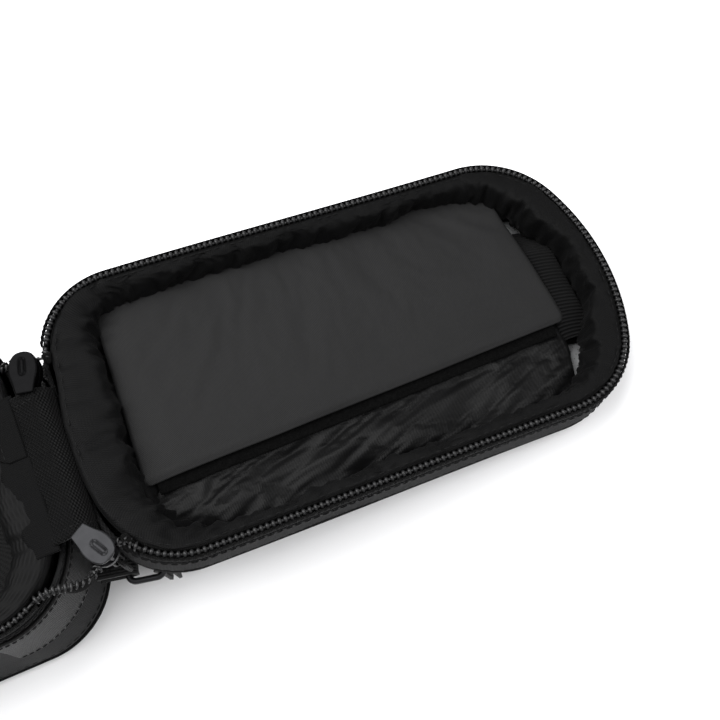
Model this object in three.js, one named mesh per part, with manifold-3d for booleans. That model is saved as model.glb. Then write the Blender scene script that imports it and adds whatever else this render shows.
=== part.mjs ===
// A small zip-round tank bag, standing open: a box-like body and a shallow lid that hinges
// at one short end. Millimetres, +Z up, +X from the body towards the opened lid. The origin
// is the middle of the underside of the anti-slip base.
import * as THREE from "three";
import { mergeVertices } from "three/addons/utils/BufferGeometryUtils.js";
import Module from "manifold-3d";

const wasm = await Module();
wasm.setup();

// ---------------------------------------------------------------- driving dimensions
const RIM_HEIGHT = 66; // table to the plane where the two zip halves meet
const LID_DEPTH = 22; // that plane to the lid's top panel
const LID_SLOPE = THREE.MathUtils.degToRad(12); // the open lid rests nose down

const HINGE_GAP = 6; // hinge line to each half's rim
const NOSE_U = 212.7; // hinge line to the tip of the nose
const HALF_WIDTH = 55; // of the rim, at the hinge end
const NOSE_HALF_WIDTH = 53.5;
const HINGE_CORNER_R = 30;
const NOSE_CORNER_R = 34;
const NOSE_R = 86;

const WALL = 1.5; // outer fabric with its backing
const FOAM_IN = 1.8; // insets of the wall's layers from the rim outline
const LINING_IN = 4.8;
const ROLL_IN = 3.3; // the lining's rolled top edge, inside the zip
const CAVITY_IN = 9; // the lining's inner face
const CAVITY_HINGE_IN = 19; // the same at the hinge end, where the lining is gathered
const ZIP_BAND = 6; // tape and coil together, on each half
const COIL_HEIGHT = 2.4;
const COIL_WIDTH = 2.7;
const GAP = 0.3; // between pieces that touch

const LID_NEAR_CHAIN_START = THREE.MathUtils.degToRad(47); // round the hinge corners, from the hinge end
const BODY_NEAR_CHAIN_START = THREE.MathUtils.degToRad(58);
const FAR_CHAIN_START = THREE.MathUtils.degToRad(16);
const STRIP_NEAR_Y = -32.5; // the fabric hinge, from the near slider to the far one
const STRIP_FAR_Y = 16;

const POCKET_U0 = 31; // the pocket, from the hinge end to the nose elastic
const POCKET_U1 = 188;
const PANEL_W = -14.2; // underside of the pocket panel, clear of the window for a phone
const PANEL_THICK = 0.8;
const PANEL_FAR_V = 15;
const FLAP_NEAR_V = -20; // the flap's free edge, and the edge it is sewn along
const FLAP_FAR_V = 40;
const FLAP_ROOM = 3.8; // from the lining to the flap, so that it can swing
const ELASTIC_WIDTH = 12.5;

const SLIDER_LENGTH = 15;
const SLIDER_WIDTH = 10;
const SLIDER_THICKNESS = 6;
const SLIDER_PLATE = 1.1;
const NEAR_SLIDER_SKEW = THREE.MathUtils.degToRad(30);
const FAR_SLIDER_SKEW = THREE.MathUtils.degToRad(13);
const PULLER_LENGTH = 17;
const PULLER_WIDTH = 4.6;
const WEBBING_WIDTH = 24;
const STRAP_HEIGHT = 28; // table to the strap rings
const RING_WIRE = 2.4;
const RING_REACH = 15;
const RING_CLEARANCE = 0.8; // ring wire to the bend of its tab, so that it can swing

const hingeX = (HINGE_GAP + NOSE_U) / 2;
const noseCentreU = NOSE_U - NOSE_R;
const noseCornerV = NOSE_HALF_WIDTH - NOSE_CORNER_R;
const noseAngle = Math.asin(noseCornerV / (NOSE_R - NOSE_CORNER_R));
const noseCornerU = noseCentreU + (NOSE_R - NOSE_CORNER_R) * Math.cos(noseAngle);

// ---------------------------------------------------------------- materials
const finish = (color, roughness, metalness = 0) =>
  new THREE.MeshStandardMaterial({ color, roughness, metalness });
const shellFabric = finish(0x17171a, 0.85);
const liningFabric = finish(0x101012, 0.8);
const flapFabric = finish(0x2b2b2e, 0.6);
const panelFabric = finish(0x18181a, 0.55);
const zipTape = finish(0x121214, 0.9);
const webbing = finish(0x161618, 0.85);
const hookLoop = finish(0x0c0c0e, 0.95);
const nylonCoil = finish(0x1c1c1e, 0.4);
const darkMetal = finish(0x2a2a2c, 0.4, 0.9);
const satinMetal = finish(0x6d6d70, 0.35, 0.95);
const rubber = finish(0x141414, 0.9);
const foam = finish(0x2e2e30, 0.95);
const boardPlastic = finish(0x202022, 0.6);
const clearFilm = finish(0xd8dcdc, 0.15);

// ---------------------------------------------------------------- solids
function toSolid(geometry) {
  const bare = geometry.clone();
  bare.deleteAttribute("normal");
  bare.deleteAttribute("uv");
  const merged = mergeVertices(bare, 1e-4);
  return new wasm.Manifold(
    new wasm.Mesh({
      numProp: 3,
      vertProperties: merged.attributes.position.array,
      triVerts: new Uint32Array(merged.index.array),
    }),
  );
}

function toGeometry(solid) {
  const mesh = solid.getMesh();
  const geometry = new THREE.BufferGeometry();
  geometry.setAttribute("position", new THREE.BufferAttribute(mesh.vertProperties, 3));
  geometry.setIndex(new THREE.BufferAttribute(mesh.triVerts, 1));
  geometry.computeVertexNormals();
  return geometry;
}

function piece(parent, name, shape, material) {
  const geometry = shape.isBufferGeometry ? shape : toGeometry(shape);
  const mesh = new THREE.Mesh(geometry, material);
  mesh.name = name;
  parent.add(mesh);
  return mesh;
}

// ---------------------------------------------------------------- the rim outline
// Both halves share one outline in the hinge frame: u runs from the hinge line to the nose,
// v across the bag and w out of the opening.
function addArc(points, u, v, radius, from, to, steps) {
  for (let i = 0; i <= steps; i++) {
    const angle = from + ((to - from) * i) / steps;
    points.push(new THREE.Vector2(u + radius * Math.cos(angle), v + radius * Math.sin(angle)));
  }
}

// From the hinge corner along the side v < 0 to the middle of the nose.
function halfRim(inset, start, hingeInset) {
  const points = [];
  const cornerR = HINGE_CORNER_R - inset;
  const cornerU = HINGE_GAP + hingeInset + cornerR;
  const cornerV = HALF_WIDTH - HINGE_CORNER_R;
  addArc(points, cornerU, -cornerV, cornerR, Math.PI + start, 1.5 * Math.PI, 5);
  const taper = HALF_WIDTH - NOSE_HALF_WIDTH;
  for (const t of [0.25, 0.5, 0.75]) {
    const v = HALF_WIDTH - inset - taper * THREE.MathUtils.smoothstep(t, 0, 1);
    points.push(new THREE.Vector2(THREE.MathUtils.lerp(cornerU, noseCornerU, t), -v));
  }
  const noseCornerR = NOSE_CORNER_R - inset;
  addArc(points, noseCornerU, -noseCornerV, noseCornerR, 1.5 * Math.PI, 2 * Math.PI - noseAngle, 5);
  addArc(points, noseCentreU, 0, NOSE_R - inset, -noseAngle * 0.7, -noseAngle * 0.25, 1);
  return points;
}

// The open path round the rim, from the v < 0 hinge corner to the v > 0 one.
function rimPath(inset, start = 0, end = 0, hingeInset = inset) {
  const left = halfRim(inset, start, hingeInset);
  const right = halfRim(inset, end, hingeInset).map((p) => new THREE.Vector2(p.x, -p.y));
  return [...left, ...right.reverse()];
}

// A solid whose outline changes with height. Each level is [w, inset, hingeInset].
function loft(levels) {
  const positions = [];
  const index = [];
  const rings = levels.map(([w, inset, hingeInset = inset]) => {
    const first = positions.length / 3;
    const ring = rimPath(inset, 0, 0, hingeInset);
    for (const p of ring) positions.push(p.x, p.y, w);
    return { first, count: ring.length, w };
  });
  const count = rings[0].count;
  for (let level = 1; level < rings.length; level++) {
    const low = rings[level - 1].first;
    const high = rings[level].first;
    for (let i = 0; i < count; i++) {
      const j = (i + 1) % count;
      index.push(low + i, low + j, high + j, low + i, high + j, high + i);
    }
  }
  for (const [ring, up] of [
    [rings[0], false],
    [rings[rings.length - 1], true],
  ]) {
    const centre = positions.length / 3;
    positions.push(hingeX, 0, ring.w);
    for (let i = 0; i < count; i++) {
      const a = ring.first + i;
      const b = ring.first + ((i + 1) % count);
      index.push(centre, up ? a : b, up ? b : a);
    }
  }
  const geometry = new THREE.BufferGeometry();
  geometry.setAttribute("position", new THREE.Float32BufferAttribute(positions, 3));
  geometry.setIndex(index);
  return toSolid(geometry);
}

const plate = (inset, w0, w1, hingeInset = inset) =>
  loft([
    [w0, inset, hingeInset],
    [w1, inset, hingeInset],
  ]);

// A band that follows the rim between two insets, open at the hinge end.
function rimBand(outerInset, innerInset, w0, w1, start, end) {
  const outer = rimPath(outerInset, start, end);
  const inner = rimPath(innerInset, start, end);
  const shape = new THREE.Shape([...outer, ...inner.reverse()]);
  const geometry = new THREE.ExtrudeGeometry(shape, { depth: w1 - w0, bevelEnabled: false });
  return geometry.translate(0, 0, w0);
}

// ---------------------------------------------------------------- small shapes
function extrude(shape, depth) {
  return new THREE.ExtrudeGeometry(shape, { depth, bevelEnabled: false, curveSegments: 4 });
}

function box(width, length, height, x = 0, y = 0, z = 0) {
  return new THREE.BoxGeometry(width, length, height).translate(x, y, z);
}

// A profile in (across, up) extruded along u, from u0 to u1.
function alongU(profile, u0, u1) {
  const shape = new THREE.Shape(profile.map(([v, w]) => new THREE.Vector2(v, w)));
  const axes = new THREE.Matrix4().makeBasis(
    new THREE.Vector3(0, 1, 0),
    new THREE.Vector3(0, 0, 1),
    new THREE.Vector3(1, 0, 0),
  );
  return extrude(shape, u1 - u0).applyMatrix4(axes).translate(u0, 0, 0);
}

// A profile in (u, up) extruded along v, from v0 to v1.
function alongV(shape, v0, v1) {
  return extrude(shape, v1 - v0).rotateX(Math.PI / 2).translate(0, v1, 0);
}

function roundedRect(width, height, radius) {
  const shape = new THREE.Shape();
  const x = width / 2 - radius;
  const y = height / 2 - radius;
  shape.absarc(x, -y, radius, -Math.PI / 2, 0);
  shape.absarc(x, y, radius, 0, Math.PI / 2);
  shape.absarc(-x, y, radius, Math.PI / 2, Math.PI);
  shape.absarc(-x, -y, radius, Math.PI, 1.5 * Math.PI);
  return shape;
}

// A flat ring with rounded corners, centred on the origin in the XY plane.
function flatRing(width, height, bar, thickness, radius) {
  const shape = roundedRect(width, height, radius);
  const holeRadius = Math.max(radius - bar, 0.4);
  shape.holes.push(roundedRect(width - 2 * bar, height - 2 * bar, holeRadius));
  return extrude(shape, thickness).translate(0, 0, -thickness / 2);
}

// A band of the given thickness that follows a bent line of points in (u, up).
function bentStrip(line, thickness) {
  const upper = line.map(([u, w]) => new THREE.Vector2(u, w + thickness / 2));
  const lower = line.map(([u, w]) => new THREE.Vector2(u, w - thickness / 2));
  return new THREE.Shape([...lower, ...upper.reverse()]);
}

// ---------------------------------------------------------------- body
function addBody(root) {
  const half = new THREE.Group();
  half.position.set(hingeX, 0, RIM_HEIGHT);
  half.rotation.z = Math.PI;
  root.add(half);
  const floor = -RIM_HEIGHT;
  const shellBottom = floor + 2.3;
  const wallTop = -ZIP_BAND;

  piece(half, "base_pad", plate(8, floor, floor + 2), rubber);

  const outside = loft([
    [shellBottom, 6],
    [shellBottom + 2, 2.5],
    [shellBottom + 6, 0.6],
    [shellBottom + 14, 0],
    [wallTop, 0],
  ]);
  const inside = loft([
    [shellBottom + WALL, 6],
    [shellBottom + 6, 0.6 + WALL],
    [shellBottom + 14, WALL],
    [wallTop + 1, WALL],
  ]);
  piece(half, "body_shell", outside.subtract(inside), shellFabric);

  const boardTop = shellBottom + WALL + GAP + 2;
  piece(half, "base_stiffener", plate(9, shellBottom + WALL + GAP, boardTop), boardPlastic);

  const foamBottom = shellBottom + 15;
  const foamRing = plate(FOAM_IN, foamBottom, wallTop - GAP).subtract(
    plate(LINING_IN - GAP, foamBottom - 1, wallTop),
  );
  piece(half, "body_foam", foamRing, foam);

  const liningBottom = boardTop + GAP;
  const liningOutside = loft([
    [liningBottom, 9],
    [liningBottom + 6, LINING_IN],
    [wallTop, LINING_IN],
    [wallTop + 0.2, ROLL_IN],
    [-1.5, ROLL_IN],
  ]);
  const liningInside = loft([
    [liningBottom + 1.2, 11, 11],
    [liningBottom + 7, CAVITY_IN - 2, CAVITY_IN - 2],
    [-18, CAVITY_IN - 1, CAVITY_IN + 1],
    [-6, CAVITY_IN, CAVITY_HINGE_IN],
    [0, CAVITY_IN - 1, CAVITY_HINGE_IN - 1],
  ]);
  piece(half, "body_lining", liningOutside.subtract(liningInside), liningFabric);

  addZip(half, "body", -1, FAR_CHAIN_START, BODY_NEAR_CHAIN_START);
  addHingeHalf(half, "body_hinge_strip", -STRIP_FAR_Y, -STRIP_NEAR_Y);
  const hem = box(10, STRIP_FAR_Y - STRIP_NEAR_Y, 0.9, 13.5, -(STRIP_FAR_Y + STRIP_NEAR_Y) / 2, -0.6);
  piece(half, "body_hinge_hem", hem, webbing);
}

// The tape and the coil of one half. The coil stops just short of the meeting plane.
function addZip(half, side, up, start, end) {
  const meeting = 0.15 * up;
  const coilEdge = COIL_HEIGHT * up;
  const tapeEdge = (ZIP_BAND - GAP) * up;
  const low = Math.min(meeting, coilEdge);
  const high = Math.max(meeting, coilEdge);
  const coil = rimBand(0.3, 0.3 + COIL_WIDTH, low, high, start, end);
  piece(half, side + "_zip_coil", coil, nylonCoil);
  const tapeStart = coilEdge + GAP * up;
  const tape = rimBand(1.2, 2, Math.min(tapeStart, tapeEdge), Math.max(tapeStart, tapeEdge), start, end);
  piece(half, side + "_zip_tape", tape, zipTape);
}

// Half of the fabric hinge, rising from the wall's edge almost to the hinge line.
function addHingeHalf(half, name, v0, v1) {
  const strip = bentStrip(
    [
      [0.8, -0.8],
      [3.2, -2.6],
      [5.7, -5.1],
    ],
    1,
  );
  piece(half, name, alongV(strip, v0, v1), webbing);
}

// ---------------------------------------------------------------- lid
function addLid(root) {
  const half = new THREE.Group();
  half.position.set(hingeX, 0, RIM_HEIGHT);
  half.rotation.y = LID_SLOPE;
  root.add(half);
  const top = -LID_DEPTH;
  const wallEdge = -ZIP_BAND;
  const windowIn = 13;
  const windowHingeIn = 22;

  const outside = loft([
    [top, 5],
    [top + 1.5, 2.2],
    [top + 5, 0.4],
    [wallEdge, 0],
  ]);
  const inside = loft([
    [top + 1, 6],
    [top + 5, 0.4 + WALL],
    [wallEdge + 1, WALL],
  ]);
  const windowHole = plate(windowIn, top - 1, top + 2, windowHingeIn);
  piece(half, "lid_shell", outside.subtract(inside).subtract(windowHole), shellFabric);

  const binding = plate(windowIn - 6, top - 1.1, top - GAP, windowHingeIn - 6).subtract(
    plate(windowIn + 1, top - 2, top, windowHingeIn + 1),
  );
  piece(half, "lid_window_binding", binding, webbing);
  const filmBottom = top + 1 + GAP;
  piece(half, "lid_window", plate(9, filmBottom, filmBottom + 0.5, 18), clearFilm);

  const foamRing = plate(FOAM_IN + 0.4, -16.5, wallEdge - GAP).subtract(
    plate(LINING_IN - GAP, -17, wallEdge),
  );
  piece(half, "lid_foam", foamRing, foam);

  const liningBottom = filmBottom + 0.5 + GAP;
  const liningOutside = loft([
    [liningBottom, 6.5],
    [liningBottom + 4, LINING_IN],
    [wallEdge, LINING_IN],
    [wallEdge + 0.2, ROLL_IN],
    [-1.5, ROLL_IN],
  ]);
  const liningInside = loft([
    [liningBottom - 1, CAVITY_IN, CAVITY_HINGE_IN],
    [-4, CAVITY_IN + 0.5, CAVITY_HINGE_IN],
    [0, CAVITY_IN - 1.5, CAVITY_HINGE_IN - 2],
  ]);
  piece(half, "lid_lining", liningOutside.subtract(liningInside), liningFabric);

  addZip(half, "lid", -1, LID_NEAR_CHAIN_START, FAR_CHAIN_START);
  addHingeHalf(half, "lid_hinge_strip", STRIP_NEAR_Y, STRIP_FAR_Y);
  addPocket(half, liningBottom);
}

// The phone pocket over the window: its panel, the flap that covers it, and the elastic.
function addPocket(half, floor) {
  const room = plate(CAVITY_IN + 0.9, floor, 0, CAVITY_HINGE_IN + 0.9);
  const fitted = (geometry) => toSolid(geometry).intersect(room);
  const middle = (POCKET_U0 + POCKET_U1) / 2;
  const length = POCKET_U1 - POCKET_U0;
  const panelTop = PANEL_W + PANEL_THICK;
  const panelProfile = [
    [-45, floor],
    [-44, floor],
    [-43.4, PANEL_W - 1],
    [-42, PANEL_W],
    [PANEL_FAR_V, PANEL_W],
    [PANEL_FAR_V, panelTop],
    [-42.4, panelTop],
    [-44.4, PANEL_W - 0.6],
  ];
  const panel = fitted(alongU(panelProfile, POCKET_U0 - 2, POCKET_U1));
  piece(half, "pocket_panel", panel, panelFabric);

  const loopThick = 0.8;
  const hookThick = 0.7;
  const loopW = panelTop + GAP + loopThick / 2;
  const hookW = panelTop + 2 * GAP + loopThick + hookThick / 2;
  const loop = box(length - 3, 16, loopThick, middle, FLAP_NEAR_V + 4, loopW);
  piece(half, "pocket_loop_strip", loop, hookLoop);
  const hook = box(length - 3, 11, hookThick, middle, FLAP_NEAR_V + 6.5, hookW);
  piece(half, "flap_hook_strip", hook, hookLoop);

  const flapThick = 0.9;
  const flapWidth = FLAP_FAR_V - FLAP_NEAR_V;
  const flapBottom = hookW + hookThick / 2 + GAP;
  const flap = extrude(roundedRect(length, flapWidth, 2.5), flapThick);
  flap.translate(middle, FLAP_NEAR_V + flapWidth / 2, flapBottom);
  const swingRoom = plate(CAVITY_IN + FLAP_ROOM, flapBottom - 1, flapBottom + 2, CAVITY_HINGE_IN + FLAP_ROOM);
  piece(half, "pocket_flap", toSolid(flap).intersect(swingRoom), flapFabric);

  const elasticProfile = [
    [-23, floor],
    [-21.8, floor],
    [-19, -14.6],
    [-12, -12.2],
    [2, -11.4],
    [16, -12.2],
    [23.5, -14.6],
    [26.3, floor],
    [27.5, floor],
    [24.6, -13.9],
    [16.6, -11],
    [2, -10.2],
    [-12.6, -11],
    [-20.1, -13.9],
  ];
  const elastic = alongU(elasticProfile, POCKET_U1 + GAP, POCKET_U1 + ELASTIC_WIDTH);
  piece(half, "nose_elastic", fitted(elastic), webbing);
}

// ---------------------------------------------------------------- zip sliders
// A slider lies with its width along X, its mouth towards +Y and its inner plate up.
function sliderPlate() {
  const w = SLIDER_WIDTH / 2;
  const l = SLIDER_LENGTH / 2;
  const shape = new THREE.Shape();
  shape.moveTo(-w * 0.55, -l);
  shape.lineTo(w * 0.55, -l);
  shape.lineTo(w, -l * 0.1);
  shape.quadraticCurveTo(w, l * 0.75, w * 0.35, l);
  shape.lineTo(-w * 0.35, l);
  shape.quadraticCurveTo(-w, l * 0.75, -w, -l * 0.1);
  return extrude(shape, SLIDER_PLATE);
}

const lugY = 2.5;
const lugDrop = 1.9; // outer plate to the middle of the lug's hole

function addSlider(parent, side, material) {
  const t = SLIDER_THICKNESS / 2;
  const inner = toSolid(sliderPlate().translate(0, 0, t - SLIDER_PLATE));
  const outer = toSolid(sliderPlate().translate(0, 0, -t));
  const bridge = toSolid(box(2.2, 4.5, SLIDER_THICKNESS - 0.4, 0, SLIDER_LENGTH / 2 - 2.6, 0));
  const lugShape = roundedRect(5.4, 4.4, 1.6);
  const hole = new THREE.Path().absarc(0, -0.4, 1.25, 0, 2 * Math.PI, true);
  lugShape.holes.push(hole);
  const lug = extrude(lugShape, 1.8).translate(0, 0, -0.9);
  lug.applyMatrix4(
    new THREE.Matrix4().makeBasis(
      new THREE.Vector3(0, 1, 0),
      new THREE.Vector3(0, 0, 1),
      new THREE.Vector3(1, 0, 0),
    ),
  );
  lug.translate(0, lugY, -t - lugDrop + 0.4);
  const solid = inner.add(outer).add(bridge).add(toSolid(lug));
  piece(parent, side + "_slider", solid, material);
}

// The pull tab is a slim wire loop through the slider's lug, with a cord loop on its end.
function addPuller(parent, side) {
  const bar = 1.2;
  const top = -SLIDER_THICKNESS / 2 - lugDrop + bar / 2;
  const tab = flatRing(PULLER_WIDTH, PULLER_LENGTH, bar, bar, 1.6);
  tab.rotateX(Math.PI / 2).translate(0, lugY, top - PULLER_LENGTH / 2);
  piece(parent, side + "_puller", tab, darkMetal);
  const cordLength = 12;
  const cordWidth = 1.8;
  const cordTop = top - PULLER_LENGTH + bar + GAP + cordWidth;
  const cord = flatRing(cordLength, 6.2, cordWidth, 2, 2.4);
  cord.rotateY(Math.PI / 2).translate(0, lugY, cordTop - cordLength / 2);
  piece(parent, side + "_pull_cord", cord, webbing);
}

function addSliders(root) {
  for (const [side, x, y, turn, material] of [
    ["near", hingeX + 3.85, -40.4, Math.PI + NEAR_SLIDER_SKEW, satinMetal],
    ["far", hingeX - 0.35, 24.6, -FAR_SLIDER_SKEW, darkMetal],
  ]) {
    const place = new THREE.Group();
    place.position.set(x, y, RIM_HEIGHT);
    place.rotation.z = turn;
    root.add(place);
    addSlider(place, side, material);
    addPuller(place, side);
  }
}

// ---------------------------------------------------------------- strap points
// A sewn webbing tab that holds a wire ring. X points out of the wall.
function addStrapPoint(parent, side) {
  const tabLength = 12;
  const tabHeight = 6.4;
  const tabCentre = GAP + tabLength / 2;
  const tabThick = 1.3;
  const tab = flatRing(tabLength, tabHeight, tabThick, WEBBING_WIDTH - 1, 2 * tabThick);
  piece(parent, side + "_strap_tab", tab.rotateX(Math.PI / 2).translate(tabCentre, 0, 0), webbing);
  const ringStart = GAP + tabLength - tabThick - RING_CLEARANCE - RING_WIRE;
  const ring = flatRing(RING_REACH, WEBBING_WIDTH + 6, RING_WIRE, RING_WIRE, 3.6);
  piece(parent, side + "_strap_ring", ring.translate(ringStart + RING_REACH / 2, 0, 0), satinMetal);
  return ringStart + RING_REACH - RING_WIRE / 2;
}

// A short strap folded round the ring's outer bar, its two layers sewn together below it.
function addStrap(parent, side, barX) {
  const loopR = RING_WIRE / 2 + GAP + 1.7;
  const shape = new THREE.Shape();
  const tail = 1.4;
  const drop = 18;
  shape.moveTo(tail, -drop);
  shape.lineTo(tail, -3.2);
  shape.absarc(0, 0, loopR, -1.15, Math.PI + 1.15);
  shape.lineTo(-tail, -drop);
  shape.holes.push(new THREE.Path().absarc(0, 0, loopR - 1.2, 0, 2 * Math.PI, true));
  const strap = extrude(shape, WEBBING_WIDTH).rotateX(Math.PI / 2).translate(barX, WEBBING_WIDTH / 2, 0);
  piece(parent, side + "_strap", strap, webbing);
  const tag = box(1, 12, 8, barX + tail + GAP + 0.5, 0, -12.5);
  piece(parent, side + "_strap_tag", tag, rubber);
}

function addStraps(root) {
  const wallX = hingeX - HINGE_GAP;
  for (const [side, x, y, turn, hasStrap] of [
    ["near", wallX, -30, -THREE.MathUtils.degToRad(12), true],
    ["far", wallX, 30, THREE.MathUtils.degToRad(12), true],
    ["tail", -wallX, 0, Math.PI, false],
  ]) {
    const place = new THREE.Group();
    const clear = hasStrap ? 2.4 : 0.4;
    place.position.set(x, y, STRAP_HEIGHT);
    place.rotation.z = turn;
    place.translateX(clear);
    root.add(place);
    const barX = addStrapPoint(place, side);
    if (hasStrap) addStrap(place, side, barX);
  }
}

const tankBag = new THREE.Group();
addBody(tankBag);
addLid(tankBag);
addSliders(tankBag);
addStraps(tankBag);

export default tankBag;
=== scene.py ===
"""The looks of a small zip-round tank bag that stands open on a pale table.

Shapes are worked out in millimetres in each half's hinge frame (u away from the hinge line,
v across the bag, w out of the opening) and are placed in the row frame, in metres, at the end.
"""
import math

import bmesh
import bpy
import numpy as np
from mathutils import Matrix, Vector, noise


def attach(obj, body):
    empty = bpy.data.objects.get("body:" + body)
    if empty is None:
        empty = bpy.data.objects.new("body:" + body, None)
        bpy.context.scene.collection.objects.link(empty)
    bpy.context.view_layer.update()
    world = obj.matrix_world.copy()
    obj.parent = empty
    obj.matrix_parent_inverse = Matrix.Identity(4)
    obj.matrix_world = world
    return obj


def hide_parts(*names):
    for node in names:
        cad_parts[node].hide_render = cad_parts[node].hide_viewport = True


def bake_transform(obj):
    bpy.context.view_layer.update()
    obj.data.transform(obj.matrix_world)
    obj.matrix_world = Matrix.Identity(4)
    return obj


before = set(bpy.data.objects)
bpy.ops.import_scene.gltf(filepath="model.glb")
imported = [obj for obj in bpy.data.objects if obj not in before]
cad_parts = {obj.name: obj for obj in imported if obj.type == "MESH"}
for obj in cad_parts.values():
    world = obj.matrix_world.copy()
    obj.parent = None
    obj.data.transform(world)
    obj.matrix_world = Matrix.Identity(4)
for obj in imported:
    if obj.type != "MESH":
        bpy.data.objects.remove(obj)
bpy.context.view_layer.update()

MM = 0.001
UP = np.array([0, 0, 1.0])

# ---------------------------------------------------------------- the CAD model's dimensions
RIM_HEIGHT = 66.0
LID_SLOPE = math.radians(12)
HINGE_X = 109.35
HINGE_GAP = 6.0
HALF_WIDTH = 55.0
TAPER = 1.5
HINGE_CORNER_R = 30.0
NOSE_CORNER_R = 34.0
NOSE_R = 86.0
NOSE_CENTRE_U = 126.7
NOSE_CORNER_U = 174.9
NOSE_CORNER_V = 19.5
NOSE_ANGLE = math.asin(NOSE_CORNER_V / (NOSE_R - NOSE_CORNER_R))
STRIP_NEAR_Y = -32.5
STRIP_FAR_Y = 16.0
ZIP_PITCH = 2.15
CHAIN_START = {
    ("near", "lid"): math.radians(47),
    ("near", "body"): math.radians(58),
    ("far", "lid"): math.radians(16),
    ("far", "body"): math.radians(16),
}
TOOTH_INSET = 1.65
TOOTH_LIFT = 0.15
NEAR_CHAIN_SAG = 0.6
OPEN_COIL_SPREAD = 1.5
RING_START = 7.8
STRAP_BAR = 21.6


# ---------------------------------------------------------------- small maths
def smoothstep(t):
    t = np.clip(t, 0.0, 1.0)
    return t * t * (3 - 2 * t)


def unit(vectors):
    return vectors / np.maximum(np.linalg.norm(vectors, axis=-1, keepdims=True), 1e-9)


def stack(u, v, w):
    u, v, w = np.broadcast_arrays(u, v, w)
    return np.stack([u, v, w], axis=-1).astype(float)


def to_lid(p):
    """Points in the lid's hinge frame to the row frame, with the lid open."""
    cos, sin = math.cos(LID_SLOPE), math.sin(LID_SLOPE)
    u, v, w = p[..., 0], p[..., 1], p[..., 2]
    return stack(HINGE_X + u * cos + w * sin, v, RIM_HEIGHT - u * sin + w * cos)


def to_body(p):
    """Points in the body's hinge frame to the row frame."""
    return stack(HINGE_X - p[..., 0], -p[..., 1], RIM_HEIGHT + p[..., 2])


def at_rest(p):
    """For points that are in the row frame already."""
    return p


def rough(points, size, seed, detail=2):
    """Smooth noise from -1 to 1 at each point, with bumps about size apart."""
    flat = np.asarray(points, float).reshape(-1, points.shape[-1]) / size
    values = [
        noise.fractal(Vector((p[0] + seed, p[1] - seed, p[2] if len(p) > 2 else seed)), 0.7, 2.0, detail)
        for p in flat
    ]
    return np.array(values).reshape(points.shape[:-1])


def resample(line, step):
    """Points about step apart along a smooth curve through the given ones."""
    line = np.asarray(line, float)
    padded = np.vstack([2 * line[0] - line[1], line, 2 * line[-1] - line[-2]])
    out = []
    for a, b, c, d in zip(padded, padded[1:], padded[2:], padded[3:]):
        count = max(1, round(np.linalg.norm(c - b) / step))
        for t in np.arange(count) / count:
            out.append(
                0.5 * (2 * b + (c - a) * t + (2 * a - 5 * b + 4 * c - d) * t * t
                       + (3 * b - a - 3 * c + d) * t ** 3)
            )
    return np.array(out + [line[-1]])


def along_line(line, lengths, where):
    """Points at the given lengths along a line."""
    return np.stack([np.interp(where, lengths, line[:, k]) for k in range(line.shape[1])], axis=-1)


def arc_lengths(points, closed=False):
    steps = np.linalg.norm(np.diff(points, axis=0), axis=1)
    total = np.concatenate([[0.0], np.cumsum(steps)])
    if closed:
        return total, total[-1] + np.linalg.norm(points[0] - points[-1])
    return total


# ---------------------------------------------------------------- the rim outline
PARALLEL_INSET = 13.0
MIDDLE_INSET = 53.0
MIDDLE_LINE = (55.0, 160.0)


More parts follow.
